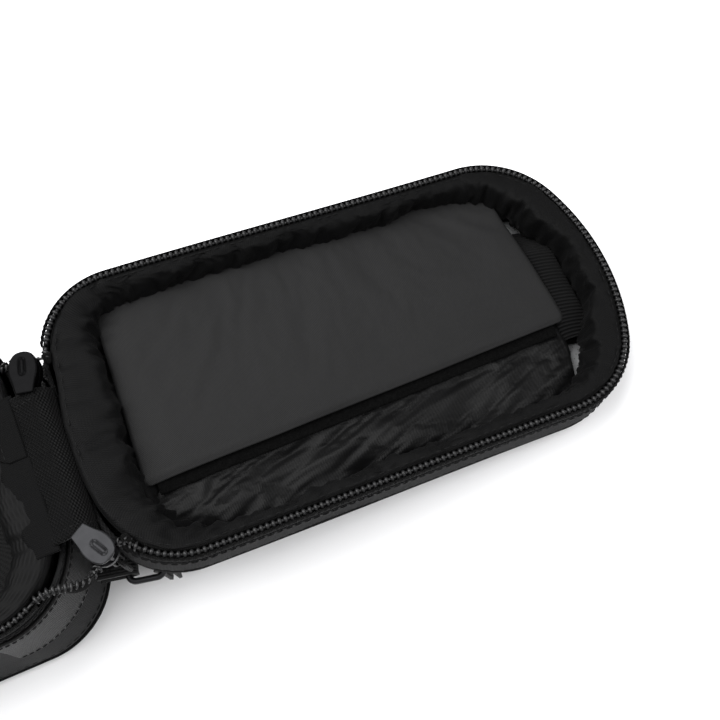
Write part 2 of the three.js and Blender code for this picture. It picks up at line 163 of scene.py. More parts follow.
class Outline:
    """The rim's closed outline. Each sample is linear in the inset and in the hinge end's inset."""

    def __init__(self, step):
        rows = []

        def span(length):
            count = max(2, round(length / step))
            return np.arange(count) / count

        corner_v = HALF_WIDTH - HINGE_CORNER_R
        for t in span(corner_v):
            rows.append((HINGE_GAP, 0, 1, -corner_v * t, 0))
        for t in span(HINGE_CORNER_R * math.pi / 2):
            c, s = math.cos(math.pi * (1 + t / 2)), math.sin(math.pi * (1 + t / 2))
            start = HINGE_GAP + HINGE_CORNER_R
            rows.append((start + HINGE_CORNER_R * c, -1 - c, 1, -corner_v + HINGE_CORNER_R * s, -s))
        for t in span(NOSE_CORNER_U - HINGE_GAP - HINGE_CORNER_R):
            start = HINGE_GAP + HINGE_CORNER_R
            half = HALF_WIDTH - TAPER * smoothstep(t)
            rows.append(((1 - t) * start + t * NOSE_CORNER_U, t - 1, 1 - t, -half, 1))
        for t in span(NOSE_CORNER_R * (math.pi / 2 - NOSE_ANGLE)):
            angle = 1.5 * math.pi + t * (math.pi / 2 - NOSE_ANGLE)
            c, s = math.cos(angle), math.sin(angle)
            rows.append((NOSE_CORNER_U + NOSE_CORNER_R * c, -c, 0, -NOSE_CORNER_V + NOSE_CORNER_R * s, -s))
        for t in span(NOSE_R * NOSE_ANGLE):
            c, s = math.cos(-NOSE_ANGLE * (1 - t)), math.sin(-NOSE_ANGLE * (1 - t))
            rows.append((NOSE_CENTRE_U + NOSE_R * c, -c, 0, NOSE_R * s, -s))
        near = np.array(rows)
        far = near[1:][::-1] * np.array([1, 1, 1, -1, -1])
        tip = np.array([[NOSE_CENTRE_U + NOSE_R, -1, 0, 0, 0]])
        self.rows = np.vstack([near, tip, far])
        self.count = len(self.rows)
        self.s, self.length = arc_lengths(self.ring(0, 0)[:, :2], closed=True)
        self.hinge = self.rows[:, 2]

    def ring(self, inset, w, hinge_inset=None):
        hinge_inset = inset if hinge_inset is None else hinge_inset
        u0, ui, uh, v0, vi = self.rows.T
        return stack(u0 + ui * inset + uh * hinge_inset, v0 + vi * inset, w)

    def toward_middle(self, inset, w, hinge_inset):
        """A ring inside the last parallel one, drawn in toward the bag's middle line."""
        ring = self.ring(PARALLEL_INSET, w, hinge_inset)
        middle = stack(np.clip(ring[:, 0], *MIDDLE_LINE), 0.0, w)
        share = (inset - PARALLEL_INSET) / (MIDDLE_INSET - PARALLEL_INSET)
        return ring + share * (middle - ring)

    def rings(self, profile, hinge_inset=PARALLEL_INSET):
        """A grid, outline samples by profile points. A profile point is (inset, w, hinge inset)."""
        return np.stack([
            self.ring(*p) if p[0] <= PARALLEL_INSET else self.toward_middle(p[0], p[1], hinge_inset)
            for p in profile
        ], axis=1)


RIM = Outline(1.4)


def normals_of(grid, wrap_rows, wrap_cols):
    def along(axis, wrap):
        if wrap:
            return np.roll(grid, -1, axis) - np.roll(grid, 1, axis)
        return np.gradient(grid, axis=axis)

    return unit(np.cross(along(0, wrap_rows), along(1, wrap_cols)))


# ---------------------------------------------------------------- meshes
def place_object(name, data):
    obj = bpy.data.objects.new(name, data)
    bpy.context.scene.collection.objects.link(obj)
    return obj


def make_object(name, verts, faces, uvs):
    mesh = bpy.data.meshes.new(name)
    mesh.from_pydata([tuple(v) for v in np.asarray(verts) * MM], [], faces)
    layer = mesh.uv_layers.new(name="cloth")
    flat = np.array([c for face in uvs for c in face], np.float32)
    layer.data.foreach_set("uv", (flat * MM).ravel())
    mesh.polygons.foreach_set("use_smooth", [True] * len(mesh.polygons))
    mesh.update()
    return place_object(name, mesh)


def grid_object(name, grid, place, wrap_rows=False, wrap_cols=False, planar=True):
    """A mesh from a grid of points. Cloth coordinates run along the rows and columns, or over the
    plane where the surface lies flat."""
    rows, cols = grid.shape[:2]
    mid_row = grid[:, cols // 2]
    along, row_length = arc_lengths(mid_row, closed=True)
    across, col_length = arc_lengths(grid[rows // 2], closed=True)
    row_pos = np.append(along, row_length)
    col_pos = np.append(across, col_length)
    facing = normals_of(grid, wrap_rows, wrap_cols)
    faces, uvs = [], []
    for i in range(rows if wrap_rows else rows - 1):
        for j in range(cols if wrap_cols else cols - 1):
            corners = [(i, j), (i + 1, j), (i + 1, j + 1), (i, j + 1)]
            wrapped = [(a % rows, b % cols) for a, b in corners]
            if planar and abs(facing[i, j][2]) > 0.8:
                face_uv = [tuple(grid[a, b][:2]) for a, b in wrapped]
            else:
                face_uv = [(row_pos[a], col_pos[b]) for a, b in corners]
            faces.append([a * cols + b for a, b in wrapped])
            uvs.append(face_uv)
    return make_object(name, place(grid).reshape(-1, 3), faces, uvs)


def tidy_mesh(obj, distance=1e-5):
    """Welds a mesh, drops the walls folded flat on the bag's middle plane and turns the normals outward."""
    work = bmesh.new()
    work.from_mesh(obj.data)
    bmesh.ops.remove_doubles(work, verts=work.verts, dist=distance)
    folded = [face for face in work.faces if all(abs(corner.co.y) < 1e-7 for corner in face.verts)]
    bmesh.ops.delete(work, geom=folded, context="FACES")
    bmesh.ops.dissolve_degenerate(work, edges=work.edges, dist=distance)
    bmesh.ops.recalc_face_normals(work, faces=work.faces)
    work.to_mesh(obj.data)
    work.free()
    return obj


def closed_object(name, grid, place):
    """A mesh from a grid that closes on itself both ways."""
    return tidy_mesh(grid_object(name, grid, place, wrap_rows=True, wrap_cols=True))


def modify(obj, kind, **settings):
    """Adds a modifier and applies it at once."""
    modifier = obj.modifiers.new(kind, kind)
    for key, value in settings.items():
        setattr(modifier, key, value)
    bpy.context.view_layer.update()
    graph = bpy.context.evaluated_depsgraph_get()
    mesh = bpy.data.meshes.new_from_object(obj.evaluated_get(graph))
    obj.modifiers.remove(modifier)
    old = obj.data
    obj.data = mesh
    mesh.name = old.name
    bpy.data.meshes.remove(old)
    return obj


def thicken(obj, thickness, subdivide=0):
    """Gives an open sheet its thickness, centred on it; with subdivide, its rim is rounded."""
    modify(obj, "SOLIDIFY", thickness=thickness * MM, offset=0.0, use_even_offset=True)
    if subdivide:
        modify(obj, "SUBSURF", levels=subdivide, render_levels=subdivide)
    return obj


class Sweeps:
    """Collects many small tubes into one mesh."""

    def __init__(self):
        self.verts, self.faces, self.uvs = [], [], []

    def tube(self, path, radii, sides=6, closed=False, flat=1.0, side_way=None):
        """A tube of the given radii along a path. flat squeezes it across side_way."""
        path = np.asarray(path, float)
        count = len(path)
        radii = np.broadcast_to(np.asarray(radii, float), (count,))
        tangent = np.roll(path, -1, 0) - np.roll(path, 1, 0) if closed else np.gradient(path, axis=0)
        tangent = unit(tangent)
        if side_way is None:
            side_way = np.array([0.31, 0.17, 0.93])
        side_way = np.broadcast_to(side_way, path.shape)
        one = unit(np.cross(tangent, side_way))
        two = unit(np.cross(one, tangent))
        angle = 2 * math.pi * np.arange(sides) / sides
        ring = (
            path[:, None]
            + radii[:, None, None] * np.cos(angle)[None, :, None] * one[:, None]
            + flat * radii[:, None, None] * np.sin(angle)[None, :, None] * two[:, None]
        )
        first = len(self.verts)
        self.verts.extend(ring.reshape(-1, 3))
        along = arc_lengths(path)
        step = 2 * math.pi * radii.mean() / sides
        for i in range(count if closed else count - 1):
            k = (i + 1) % count
            ahead = along[k] if k else along[-1] + np.linalg.norm(path[0] - path[-1])
            for j in range(sides):
                m = (j + 1) % sides
                self.faces.append([first + i * sides + j, first + i * sides + m,
                                   first + k * sides + m, first + k * sides + j])
                self.uvs.append([(along[i], j * step), (along[i], (j + 1) * step),
                                 (ahead, (j + 1) * step), (ahead, j * step)])
        if not closed:
            for i, back in ((0, True), (count - 1, False)):
                cap = [first + i * sides + j for j in range(sides)]
                self.faces.append(cap[::-1] if back else cap)
                self.uvs.append([(0.0, 0.0)] * sides)

    def object(self, name, place):
        verts = place(np.array(self.verts))
        return tidy_mesh(make_object(name, verts, self.faces, self.uvs))


def stitches(path, facing, length=2.6, gap=0.7, radius=0.27, lift=0.1, sweeps=None):
    """A row of thread stitches along a path. Each dips into the cloth at its ends."""
    sweeps = sweeps or Sweeps()
    path = np.asarray(path, float)
    facing = np.broadcast_to(facing, path.shape)
    along = arc_lengths(path)
    start = 0.3
    while start + length < along[-1]:
        where = start + length * np.array([0.0, 0.18, 0.5, 0.82, 1.0])
        points = along_line(path, along, where)
        up = along_line(facing, along, where)
        points += up * np.array([-0.25, lift, lift + 0.05, lift, -0.25])[:, None]
        sweeps.tube(points, radius * np.array([0.6, 0.95, 1.0, 0.95, 0.6]), sides=5)
        start += length + gap
    return sweeps


# ---------------------------------------------------------------- cloth simulation
def read_points(mesh):
    points = np.zeros(len(mesh.vertices) * 3)
    mesh.vertices.foreach_get("co", points)
    return points.reshape(-1, 3)


def write_points(mesh, points):
    mesh.vertices.foreach_set("co", points.ravel())
    mesh.update()


def sew(obj, held):
    """Marks the points that the cloth solver leaves where they are."""
    group = obj.vertex_groups.new(name="sewn")
    group.add([int(i) for i in np.flatnonzero(held.ravel())], 1.0, "REPLACE")


def settle(obj, pressure=0.0, grow=0.05, cap=2.5, frames=20, bending=0.05):
    """Runs the cloth solver on a piece that is held at its sewn points, and keeps its last shape."""
    modifier = obj.modifiers.new("Cloth", "CLOTH")
    cloth = modifier.settings
    cloth.quality = 6
    cloth.mass = 0.02
    cloth.tension_stiffness = 6
    cloth.compression_stiffness = 6
    cloth.shear_stiffness = 3
    cloth.bending_stiffness = bending
    cloth.air_damping = 2.0
    cloth.vertex_group_mass = "sewn"
    cloth.shrink_min = -grow
    cloth.effector_weights.gravity = 0.0
    if pressure:
        cloth.use_pressure = True
        cloth.uniform_pressure_force = pressure
    modifier.collision_settings.use_collision = False
    modifier.point_cache.frame_start = 1
    modifier.point_cache.frame_end = frames
    scene = bpy.context.scene
    for number in range(1, frames + 1):
        scene.frame_set(number)
    graph = bpy.context.evaluated_depsgraph_get()
    before = read_points(obj.data)
    move = np.nan_to_num(read_points(obj.evaluated_get(graph).data) - before)
    far = np.linalg.norm(move, axis=1, keepdims=True)
    move *= np.minimum(1.0, cap * MM / np.maximum(far, 1e-9))
    obj.modifiers.remove(modifier)
    obj.vertex_groups.clear()
    write_points(obj.data, before + move)
    scene.frame_set(1)
    return obj


# ---------------------------------------------------------------- materials
class Surface:
    """A procedural material with the few node shortcuts that the fabrics share."""

    def __init__(self, name, roughness, metallic=0.0, sheen=0.0, coat=0.0, specular=0.5):
        self.material = bpy.data.materials.new(name)
        self.material.use_nodes = True
        self.tree = self.material.node_tree
        self.shader = self.tree.nodes["Principled BSDF"]
        self.shader.inputs["Roughness"].default_value = roughness
        self.shader.inputs["Metallic"].default_value = metallic
        self.shader.inputs["Sheen Weight"].default_value = sheen
        self.shader.inputs["Sheen Roughness"].default_value = 0.45
        self.shader.inputs["Coat Weight"].default_value = coat
        self.shader.inputs["Specular IOR Level"].default_value = specular

    def node(self, kind, **inputs):
        made = self.tree.nodes.new(kind)
        for key, value in inputs.items():
            self.feed(value, made.inputs[key.replace("_", " ")])
        return made

    def feed(self, value, socket):
        if isinstance(value, bpy.types.NodeSocket):
            self.tree.links.new(value, socket)
        else:
            socket.default_value = value

    def math(self, operation, *values):
        made = self.tree.nodes.new("ShaderNodeMath")
        made.operation = operation
        for value, socket in zip(values, made.inputs):
            self.feed(value, socket)
        return made.outputs[0]

    def cloth_axes(self):
        """The cloth coordinates, in metres."""
        source = self.tree.nodes.new("ShaderNodeUVMap")
        source.uv_map = "cloth"
        split = self.node("ShaderNodeSeparateXYZ", Vector=source.outputs["UV"])
        return split.outputs["X"], split.outputs["Y"]

    def wave(self, axis, pitch_mm):
        """A sine from -1 to 1 with the given pitch."""
        return self.math("SINE", self.math("MULTIPLY", axis, 2 * math.pi / (pitch_mm * MM)))

    def speckle(self, size_mm, detail=2.0):
        """Noise from 0 to 1 in the object's own space."""
        place = self.tree.nodes.new("ShaderNodeTexCoord")
        made = self.node("ShaderNodeTexNoise", Vector=place.outputs["Object"], Scale=1 / (size_mm * MM),
                         Detail=detail)
        return made.outputs["Fac"]

    def span(self, value, low, high):
        """Takes a value from 0 to 1 onto low to high."""
        return self.math("MULTIPLY_ADD", value, high - low, low)

    def colour(self, rgb, *factors):
        """A base colour times each factor."""
        level = factors[0]
        for factor in factors[1:]:
            level = self.math("MULTIPLY", level, factor)
        mix = self.tree.nodes.new("ShaderNodeVectorMath")
        mix.operation = "SCALE"
        mix.inputs[0].default_value = rgb
        self.feed(level, mix.inputs["Scale"])
        self.feed(mix.outputs["Vector"], self.shader.inputs["Base Color"])

    def bump(self, height, distance_mm):
        made = self.node("ShaderNodeBump", Height=height, Distance=distance_mm * MM, Strength=1.0)
        self.feed(made.outputs["Normal"], self.shader.inputs["Normal"])

    def gloss(self, value, low, high):
        self.feed(self.span(value, low, high), self.shader.inputs["Roughness"])


def plain_weave(surface, x, y, pitch_x, pitch_y):
    """Over-and-under threads, from 0 to 1."""
    product = surface.math("MULTIPLY", surface.wave(x, pitch_x), surface.wave(y, pitch_y))
    return surface.math("MULTIPLY_ADD", product, 0.5, 0.5)


def twill_weave(surface, x, y, pitch, lean=0.6):
    """Fine diagonal ribs, from 0 to 1."""
    diagonal = surface.math("ADD", x, surface.math("MULTIPLY", y, lean))
    return surface.math("MULTIPLY_ADD", surface.wave(diagonal, pitch), 0.5, 0.5)


def fabric(name, rgb, weave, pitch, roughness, sheen, depth, mottle=0.25, contrast=0.35, specular=0.4):
    surface = Surface(name, roughness, sheen=sheen, specular=specular)
    x, y = surface.cloth_axes()
    threads = weave(surface, x, y, *pitch)
    cloud = surface.speckle(14)
    fluff = surface.speckle(0.7, 3)
    surface.colour(rgb, surface.span(threads, 1 - contrast, 1 + contrast),
                   surface.span(cloud, 1 - mottle, 1 + mottle), surface.span(fluff, 0.8, 1.2))
    height = surface.math("ADD", threads, surface.math("MULTIPLY", fluff, 0.5))
    surface.bump(height, depth)
    surface.gloss(cloud, roughness - 0.08, roughness + 0.08)
    return surface.material


def ribbed(name, rgb, pitch, roughness, depth, along=False, sheen=0.03, specular=0.2):
    """Webbing: ribs across it, each made of small threads."""
    surface = Surface(name, roughness, sheen=sheen, specular=specular)
    x, y = surface.cloth_axes()
    if along:
        x, y = y, x
    rib = surface.math("ABSOLUTE", surface.wave(x, pitch * 2))
    thread = surface.math("MULTIPLY_ADD", surface.wave(y, 0.45), 0.5, 0.5)
    fluff = surface.speckle(0.6, 3)
    surface.colour(rgb, surface.span(rib, 0.25, 1.45), surface.span(thread, 0.8, 1.15),
                   surface.span(fluff, 0.75, 1.25))
    height = surface.math("ADD", rib, surface.math("MULTIPLY", thread, 0.3))
    surface.bump(height, depth)
    return surface.material


def hook_and_loop(name, rgb):
    surface = Surface(name, 0.95, sheen=0.01, specular=0.02)
    fuzz = surface.speckle(0.55, 4)
    clump = surface.speckle(1.6, 2)
    surface.colour(rgb, surface.span(fuzz, 0.2, 2.2), surface.span(clump, 0.5, 1.5))
    surface.bump(surface.math("ADD", fuzz, clump), 0.5)
    return surface.material


def moulded(name, rgb, roughness, grain_mm, depth, specular=0.4):
    surface = Surface(name, roughness, specular=specular)
    grain = surface.speckle(grain_mm, 3)
    cloud = surface.speckle(9)
    surface.colour(rgb, surface.span(grain, 0.8, 1.2), surface.span(cloud, 0.85, 1.15))
    surface.bump(grain, depth)
    surface.gloss(cloud, roughness - 0.06, roughness + 0.1)
    return surface.material


def cast_metal(name, rgb, roughness, wear):
    surface = Surface(name, roughness, metallic=0.9, specular=0.2)
    grain = surface.speckle(0.35, 3)
    scuff = surface.speckle(2.4, 4)
    surface.colour(rgb, surface.span(grain, 0.92, 1.08), surface.span(scuff, 1 - wear, 1 + wear))
    surface.bump(grain, 0.03)
    surface.gloss(scuff, roughness - 0.1, roughness + 0.14)
    return surface.material


def coil_nylon():
    surface = Surface("zip_nylon", 0.3, specular=0.3)
    worn = surface.speckle(1.1, 3)
    surface.colour((0.008, 0.008, 0.0084), surface.span(worn, 0.5, 1.6))
    surface.bump(surface.speckle(0.3), 0.03)
    surface.gloss(worn, 0.26, 0.46)
    return surface.material


def milky_film():
    surface = Surface("window_film", 0.25, coat=0.3)
    x, y = surface.cloth_axes()
    dots = surface.math("MULTIPLY", surface.wave(x, 3.1), surface.wave(y, 3.1))
    dot = surface.math("GREATER_THAN", dots, 0.86)
    haze = surface.speckle(6)
    surface.colour((0.36, 0.365, 0.37), surface.span(haze, 0.85, 1.08), surface.span(dot, 1.0, 0.5))
    surface.bump(haze, 0.2)
    surface.shader.inputs["Transmission Weight"].default_value = 0.35
    return surface.material


def table_top():
    surface = Surface("table", 0.6, specular=0.2)
    surface.colour((0.86, 0.86, 0.87), surface.span(surface.speckle(60), 0.985, 1.015))
    return surface.material


def make_materials():
    return {
        "shell": fabric("shell_fabric", (0.0075, 0.0075, 0.0078), plain_weave, (1.3, 1.3), 0.75, 0.01, 0.3,
                        contrast=0.6, specular=0.1),
        "lining": fabric("lining_fabric", (0.0026, 0.0026, 0.0027), plain_weave, (0.7, 0.7), 0.5, 0.01, 0.1,
                         contrast=0.5, specular=0.05),
        "flap": fabric("flap_fabric", (0.0118, 0.0118, 0.012), twill_weave, (0.6,), 0.5, 0.01, 0.07,
                       mottle=0.08, contrast=0.16, specular=0.07),
        "panel": fabric("panel_fabric", (0.0026, 0.0026, 0.0027), twill_weave, (0.6, -0.7), 0.34, 0.01, 0.07,
                        contrast=0.4, specular=0.085),
        "hem": fabric("hem_fabric", (0.0024, 0.0024, 0.0025), plain_weave, (0.75, 0.75), 0.6, 0.01, 0.12,
                      contrast=0.5, specular=0.04),
        "hinge": fabric("hinge_webbing", (0.0022, 0.0022, 0.0023), plain_weave, (1.7, 1.25), 0.5, 0.01, 0.45,
                        contrast=0.7, specular=0.06),
        "tape": ribbed("zip_tape", (0.003, 0.003, 0.003), 0.6, 0.75, 0.12, sheen=0.01, specular=0.05),
        "elastic": ribbed("elastic_band", (0.0026, 0.0026, 0.0027), 1.45, 0.55, 0.4, sheen=0.01,
                          specular=0.07),
        "webbing": ribbed("strap_webbing", (0.0085, 0.0085, 0.0087), 1.2, 0.5, 0.45, along=True, sheen=0.02,
                          specular=0.18),
        "thread": ribbed("sewing_thread", (0.006, 0.006, 0.0062), 0.5, 0.55, 0.05, sheen=0.01, specular=0.1),
        "fuzz": hook_and_loop("loop_pile", (0.0016, 0.0016, 0.0016)),
        "coil": coil_nylon(),
        "dark_metal": cast_metal("dark_metal", (0.0024, 0.0024, 0.0026), 0.42, 0.25),
        "satin_metal": cast_metal("satin_metal", (0.02, 0.0202, 0.0215), 0.42, 0.12),
        "rubber": moulded("grip_rubber", (0.009, 0.009, 0.009), 0.75, 0.5, 0.12, specular=0.12),
        "tag": moulded("tag_rubber", (0.006, 0.006, 0.006), 0.5, 0.4, 0.05, specular=0.15),
        "board": moulded("stiffener_board", (0.02, 0.02, 0.02), 0.6, 0.6, 0.05, specular=0.25),
        "film": milky_film(),
        "table": table_top(),
    }


LOOK = make_materials()


def dress(obj, look, body=None, replaced=()):
    """Gives a piece its material, body and the CAD nodes that it stands for."""
    obj.data.materials.clear()
    obj.data.materials.append(LOOK[look])
    if body:
        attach(obj, body)
    if replaced:
        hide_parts(*replaced)
    return obj


def dress_thread(rows, name, place, body):
    """Makes rows of stitches into a piece."""
    return dress(rows.object(name, place), "thread", body)


# ---------------------------------------------------------------- shells
def closed_profile(points, step=1.2):
    """A closed loop of (inset, w, hinge inset) points, evenly spaced."""
    full = [p if len(p) == 3 else (p[0], p[1], p[0]) for p in points]
    return resample(full + [full[0]], step)[:-1]


def wobble(grid, size, amount, seed):
    """Moves a grid of local points along their normals by smooth noise."""
    facing = normals_of(grid, True, True)
    return grid + facing * (amount * rough(grid, size, seed))[..., None]


def build_shell(name, profile, place, seed, look, body, replaced):
    grid = RIM.rings(closed_profile(profile, 1.6))
    grid = wobble(grid, 45, 0.35, seed)
    grid = wobble(grid, 9, 0.10, seed + 7)
    shell = closed_object(name, grid, place)
    return dress(shell, look, body, replaced)


def rim_line(inset, w, hinge_inset=None):
    ring = RIM.ring(inset, w, hinge_inset)
    return np.vstack([ring, ring[:1]])


def outward(points):
    """Points' directions away from the bag's middle, level with the rim."""
    away = points - stack(np.clip(points[:, 0], 60, 150), 0.0, points[:, 2])
    return unit(away)


def build_piping(name, inset, w, place, body):
    tube = Sweeps()
    tube.tube(RIM.ring(inset, w), 1.15, sides=10, closed=True)
    return dress(tube.object(name, place), "hem", body)


def build_lid_shell():
    """The lid's outer wall and its top, with the window's opening."""
    profile = [(0.0, -6.0), (0.15, -10), (0.4, -17.0), (1.1, -19.6), (2.6, -21.2), (5.2, -22.0),
               (9.5, -22.1, 12), (14.0, -22.0, 23), (14.0, -21.2, 23), (9.5, -21.1, 12),
               (5.6, -20.9), (3.2, -19.6), (2.0, -17.0), (1.7, -10.0), (1.5, -6.6)]
    build_shell("lid_outer", profile, to_lid, 3, "shell", "lid", ["lid_shell"])
    build_piping("lid_edge_piping", 1.7, -20.4, to_lid, "lid")
    rows = Sweeps()
    for w in (-7.3, -17.8):
        line = rim_line(0.0 if w > -10 else 0.45, w)
        stitches(line, outward(line), sweeps=rows)
    dress_thread(rows, "lid_outer_stitching", to_lid, "lid")


def build_body_shell():
    """The body's outer fabric, an open tub."""
    low = -RIM_HEIGHT + 2.3
    profile = [(0.0, -6.0), (-0.2, -22), (-0.2, -38), (0.0, low + 14), (0.6, low + 6), (2.5, low + 2),
               (6.0, low), (22, low, 22), (52, low, 60), (52, low + 1.2, 60), (22, low + 1.2, 22),
               (6.6, low + 1.4), (3.8, low + 3), (2.1, low + 7), (1.5, low + 14), (1.5, -38), (1.5, -6.6)]
    build_shell("body_outer", profile, to_body, 11, "shell", "bag_body", ["body_shell"])
    build_piping("body_edge_piping", 1.1, low + 4.4, to_body, "bag_body")
    rows = Sweeps()
    for w, inset in ((-7.3, 0.0), (low + 9.5, 0.25)):
        line = rim_line(inset, w)
        stitches(line, outward(line), sweeps=rows)
    dress_thread(rows, "body_outer_stitching", to_body, "bag_body")


def build_base_pad():
    """The anti-slip base: a plain rubber mat."""
    low = -RIM_HEIGHT
    profile = [(8.0, low + 2.0), (7.9, low + 1.0), (8.3, low + 0.3), (9.0, low), (26, low, 26),
               (53, low, 60), (53, low + 1.9, 60), (26, low + 2.0, 26)]
    grid = RIM.rings(closed_profile(profile, 2.5))
    pad = closed_object("base_grip_mat", grid, to_body)
    dress(pad, "rubber", "bag_body", ["base_pad"])


# ---------------------------------------------------------------- linings
def gather_noise(s, across, seed, pitch):
    """Fine puckers that run across a seam, with an uneven rhythm along it."""
    points = stack(s / pitch, across / (pitch * 3.2), 0.0)
    return rough(points, 1.0, seed, 2)


def gathers(s, across, seed, pitch):
    """Pillowed folds across a seam: round crests between sharp valleys, about 1 high."""
    return 2.4 * np.abs(gather_noise(s, across, seed, pitch)) - 0.5


PRESS_START = 1.3
PRESS_ROOM = 1.1


def press_below_rim(obj, place):
    """Presses a lining softly back below the plane where the two closed halves meet."""
    origin = place(np.zeros(3))
    up = place(UP) - origin
    points = read_points(obj.data)
    height = (points / MM - origin) @ up
    excess = np.maximum(height + PRESS_START, 0.0)
    pressed = PRESS_ROOM * (1 - np.exp(-excess / PRESS_ROOM))
    points -= ((excess - pressed) * MM)[:, None] * up
    write_points(obj.data, points)


def build_lid_lining():
    """The lid's padded lining: it rolls over the foam inside the zip and is gathered at the hinge end."""
    profile = [(3.3, -5.6), (3.1, -3.4), (3.2, -1.7), (4.1, -0.8, 4.6), (5.4, -0.5, 7.4), (6.8, -0.75, 11.0),
               (7.9, -1.7, 14.2), (8.6, -3.3, 16.4), (9.0, -5.6, 17.6), (9.3, -9.0, 18.2),
               (9.4, -12.0, 18.6), (9.4, -15.5, 22.0), (9.6, -19.6, 25.4), (8.0, -19.9, 18.0),
               (6.2, -18.6, 6.2), (5.0, -14.0, 5.0), (4.9, -7.0, 4.9)]
    loop = closed_profile(profile, 1.05)
    grid = RIM.rings(loop)
    hinge = RIM.hinge[:, None] ** 2
    s = RIM.s[:, None] + 0 * loop[:, 0][None]
    inset, w = loop[:, 0][None], loop[:, 1][None]
    overhang = smoothstep((8.4 - inset) / 3.0) * smoothstep((w + 15.0) / 8.0)
    middle = smoothstep(1.25 - np.abs(grid[..., 1] + 6.0) / 26.0)
    grid[..., 0] -= 3.0 * hinge * overhang * middle
    facing = normals_of(grid, True, True)
    shown = smoothstep((inset - 3.2) / 1.6) * smoothstep((w + 19.5) / 4)
    inner = smoothstep((inset - 5.0) / 4.0)
    across = np.cumsum(np.linalg.norm(np.diff(loop, axis=0, prepend=loop[:1]), axis=1))[None] + 0 * s
    nose = smoothstep((grid[..., 0] - 165.0) / 25.0)
    puckers = gathers(s, across, 4.0, 4.6)
    folds = gathers(s, across, 9.0, 15.0)
    bulge = rough(grid, 26, 2.5)
    height = 0.42 * puckers * (0.6 + inner) + inner * (1.15 * folds + 1.2 * bulge)
    height += hinge * 1.0 * gathers(s, across, 15.0, 11.0)
    height += nose * inner * 1.1 * gathers(s, across, 23.0, 9.0)
    corner = np.exp(-(((np.abs(grid[..., 1]) - 31.0) / 11.0) ** 2))
    height -= nose * inner * (2.0 + 1.6 * smoothstep((np.abs(grid[..., 1]) - 14.0) / 10.0) + 1.2 * corner)
    # a joining seam crosses the hinge end's roll, and its near end laps over the side roll
    height -= 0.9 * np.exp(-(((s - 3.0) / 0.7) ** 2)) * hinge
    height -= 2.0 * np.exp(-(((s - 39.0) / 1.4) ** 2)) * smoothstep((inset - 4.0) / 2.0)
    hem = np.exp(-(((inset - 5.6) / 0.8) ** 2)) * smoothstep((w + 3.0) / 2.0)
    height -= hem * (0.4 + 0.35 * gather_noise(s, across, 27.0, 2.4))
    seam = np.exp(-(((w + 0.8) / 0.5) ** 2)) * np.exp(-(((inset - 4.2) / 0.7) ** 2))
    height = shown * height - 0.45 * seam
    grid = grid - facing * height[..., None]
    lining = grid_object("lid_padding", grid, to_lid, wrap_rows=True, wrap_cols=True, planar=False)
    held = np.broadcast_to((inset < 3.6) | (w < -19.0) | ((inset < 6.5) & (w < -5)), grid.shape[:2])
    sew(lining, held)
    tidy_mesh(lining, 1e-7)
    settle(lining, pressure=1.2, grow=0.05, cap=1.8, frames=16)
    press_below_rim(lining, to_lid)
    dress(lining, "lining", "lid", ["lid_lining", "lid_foam"])
    line = rim_line(4.35, -0.75, 4.9)
    overhang = smoothstep(1.25 - np.abs(line[:, 1] + 6) / 26.0)
    line[:, 0] -= 3.0 * np.append(RIM.hinge, RIM.hinge[0]) ** 2 * overhang
    rows = stitches(line, UP, length=2.2, gap=0.9, radius=0.17, lift=0.0)
    dress_thread(rows, "lid_lining_stitching", to_lid, "lid")


def build_body_lining():
    """The body's padded lining: a rolled edge, gathered walls and a nearly flat floor."""
    floor = -RIM_HEIGHT + 7.2
    profile = [(3.3, -5.6), (3.1, -3.4), (3.2, -1.7), (4.1, -0.8, 5.0), (5.4, -0.5, 8.4), (6.8, -0.9, 11.5),
               (7.9, -2.0, 14.5), (8.4, -4.5, 17.0), (8.2, -12, 15.0), (7.6, -22, 10.0), (7.2, -36, 8.0),
               (7.4, floor + 6, 8.0), (9.0, floor + 1.6, 10.0), (13, floor + 0.5, 14), (26, floor + 0.4, 28),
               (53, floor + 0.4, 70), (53, floor - 0.6, 70), (26, floor - 0.6, 28), (11.5, floor - 0.3, 12.5),
               (7.4, floor + 1.5, 7.4), (5.6, floor + 7, 5.6), (4.9, -36, 4.9), (4.9, -7.0, 4.9)]
    loop = closed_profile(profile, 1.7)
    grid = RIM.rings(loop, 14.0)
    facing = normals_of(grid, True, True)
    s = RIM.s[:, None] + 0 * loop[:, 0][None]
    inset, w = loop[:, 0][None], loop[:, 1][None] + 0 * s
    shown = smoothstep((inset - 5.2) / 1.8)
    puckers = gathers(s, w, 21.0, 5.5) * np.exp(-((w / 12.0) ** 2))
    folds = gathers(s, w, 31.0, 24.0)
    level = smoothstep((inset - 12.0) / 12.0)
    height = shown * (1 - level) * (0.5 * puckers + 1.2 * folds + 1.1 * rough(grid, 30, 6.5))
    grid = grid - facing * height[..., None]
    grid[..., 2] += 0.8 * level * rough(grid * np.array([1, 1, 0]), 24, 6.5)
    lining = grid_object("body_padding", grid, to_body, wrap_rows=True, wrap_cols=True, planar=False)
    held = (inset < 3.6) | (inset > 20.0) | (w < floor + 0.2) | ((inset < 6.0) & (w < -5))
    sew(lining, held)
    tidy_mesh(lining, 1e-7)
    settle(lining, pressure=1.0, grow=0.04, cap=1.8, frames=12)
    press_below_rim(lining, to_body)
    dress(lining, "lining", "bag_body", ["body_lining", "body_foam"])


# ---------------------------------------------------------------- zip
def tooth_paths(points, up, across, spread=1.0):
    """The bent loops of a coil: up one face of the tape, over its edge and down the other."""
    half = [(-1.0, -2.4), (-1.0, -1.75), (-0.66, -1.3)]
    shape = half + [(0.0, -0.95)] + [(-a, b) for a, b in half[::-1]]
    return [points + spread * a * across + b * up for a, b in shape]


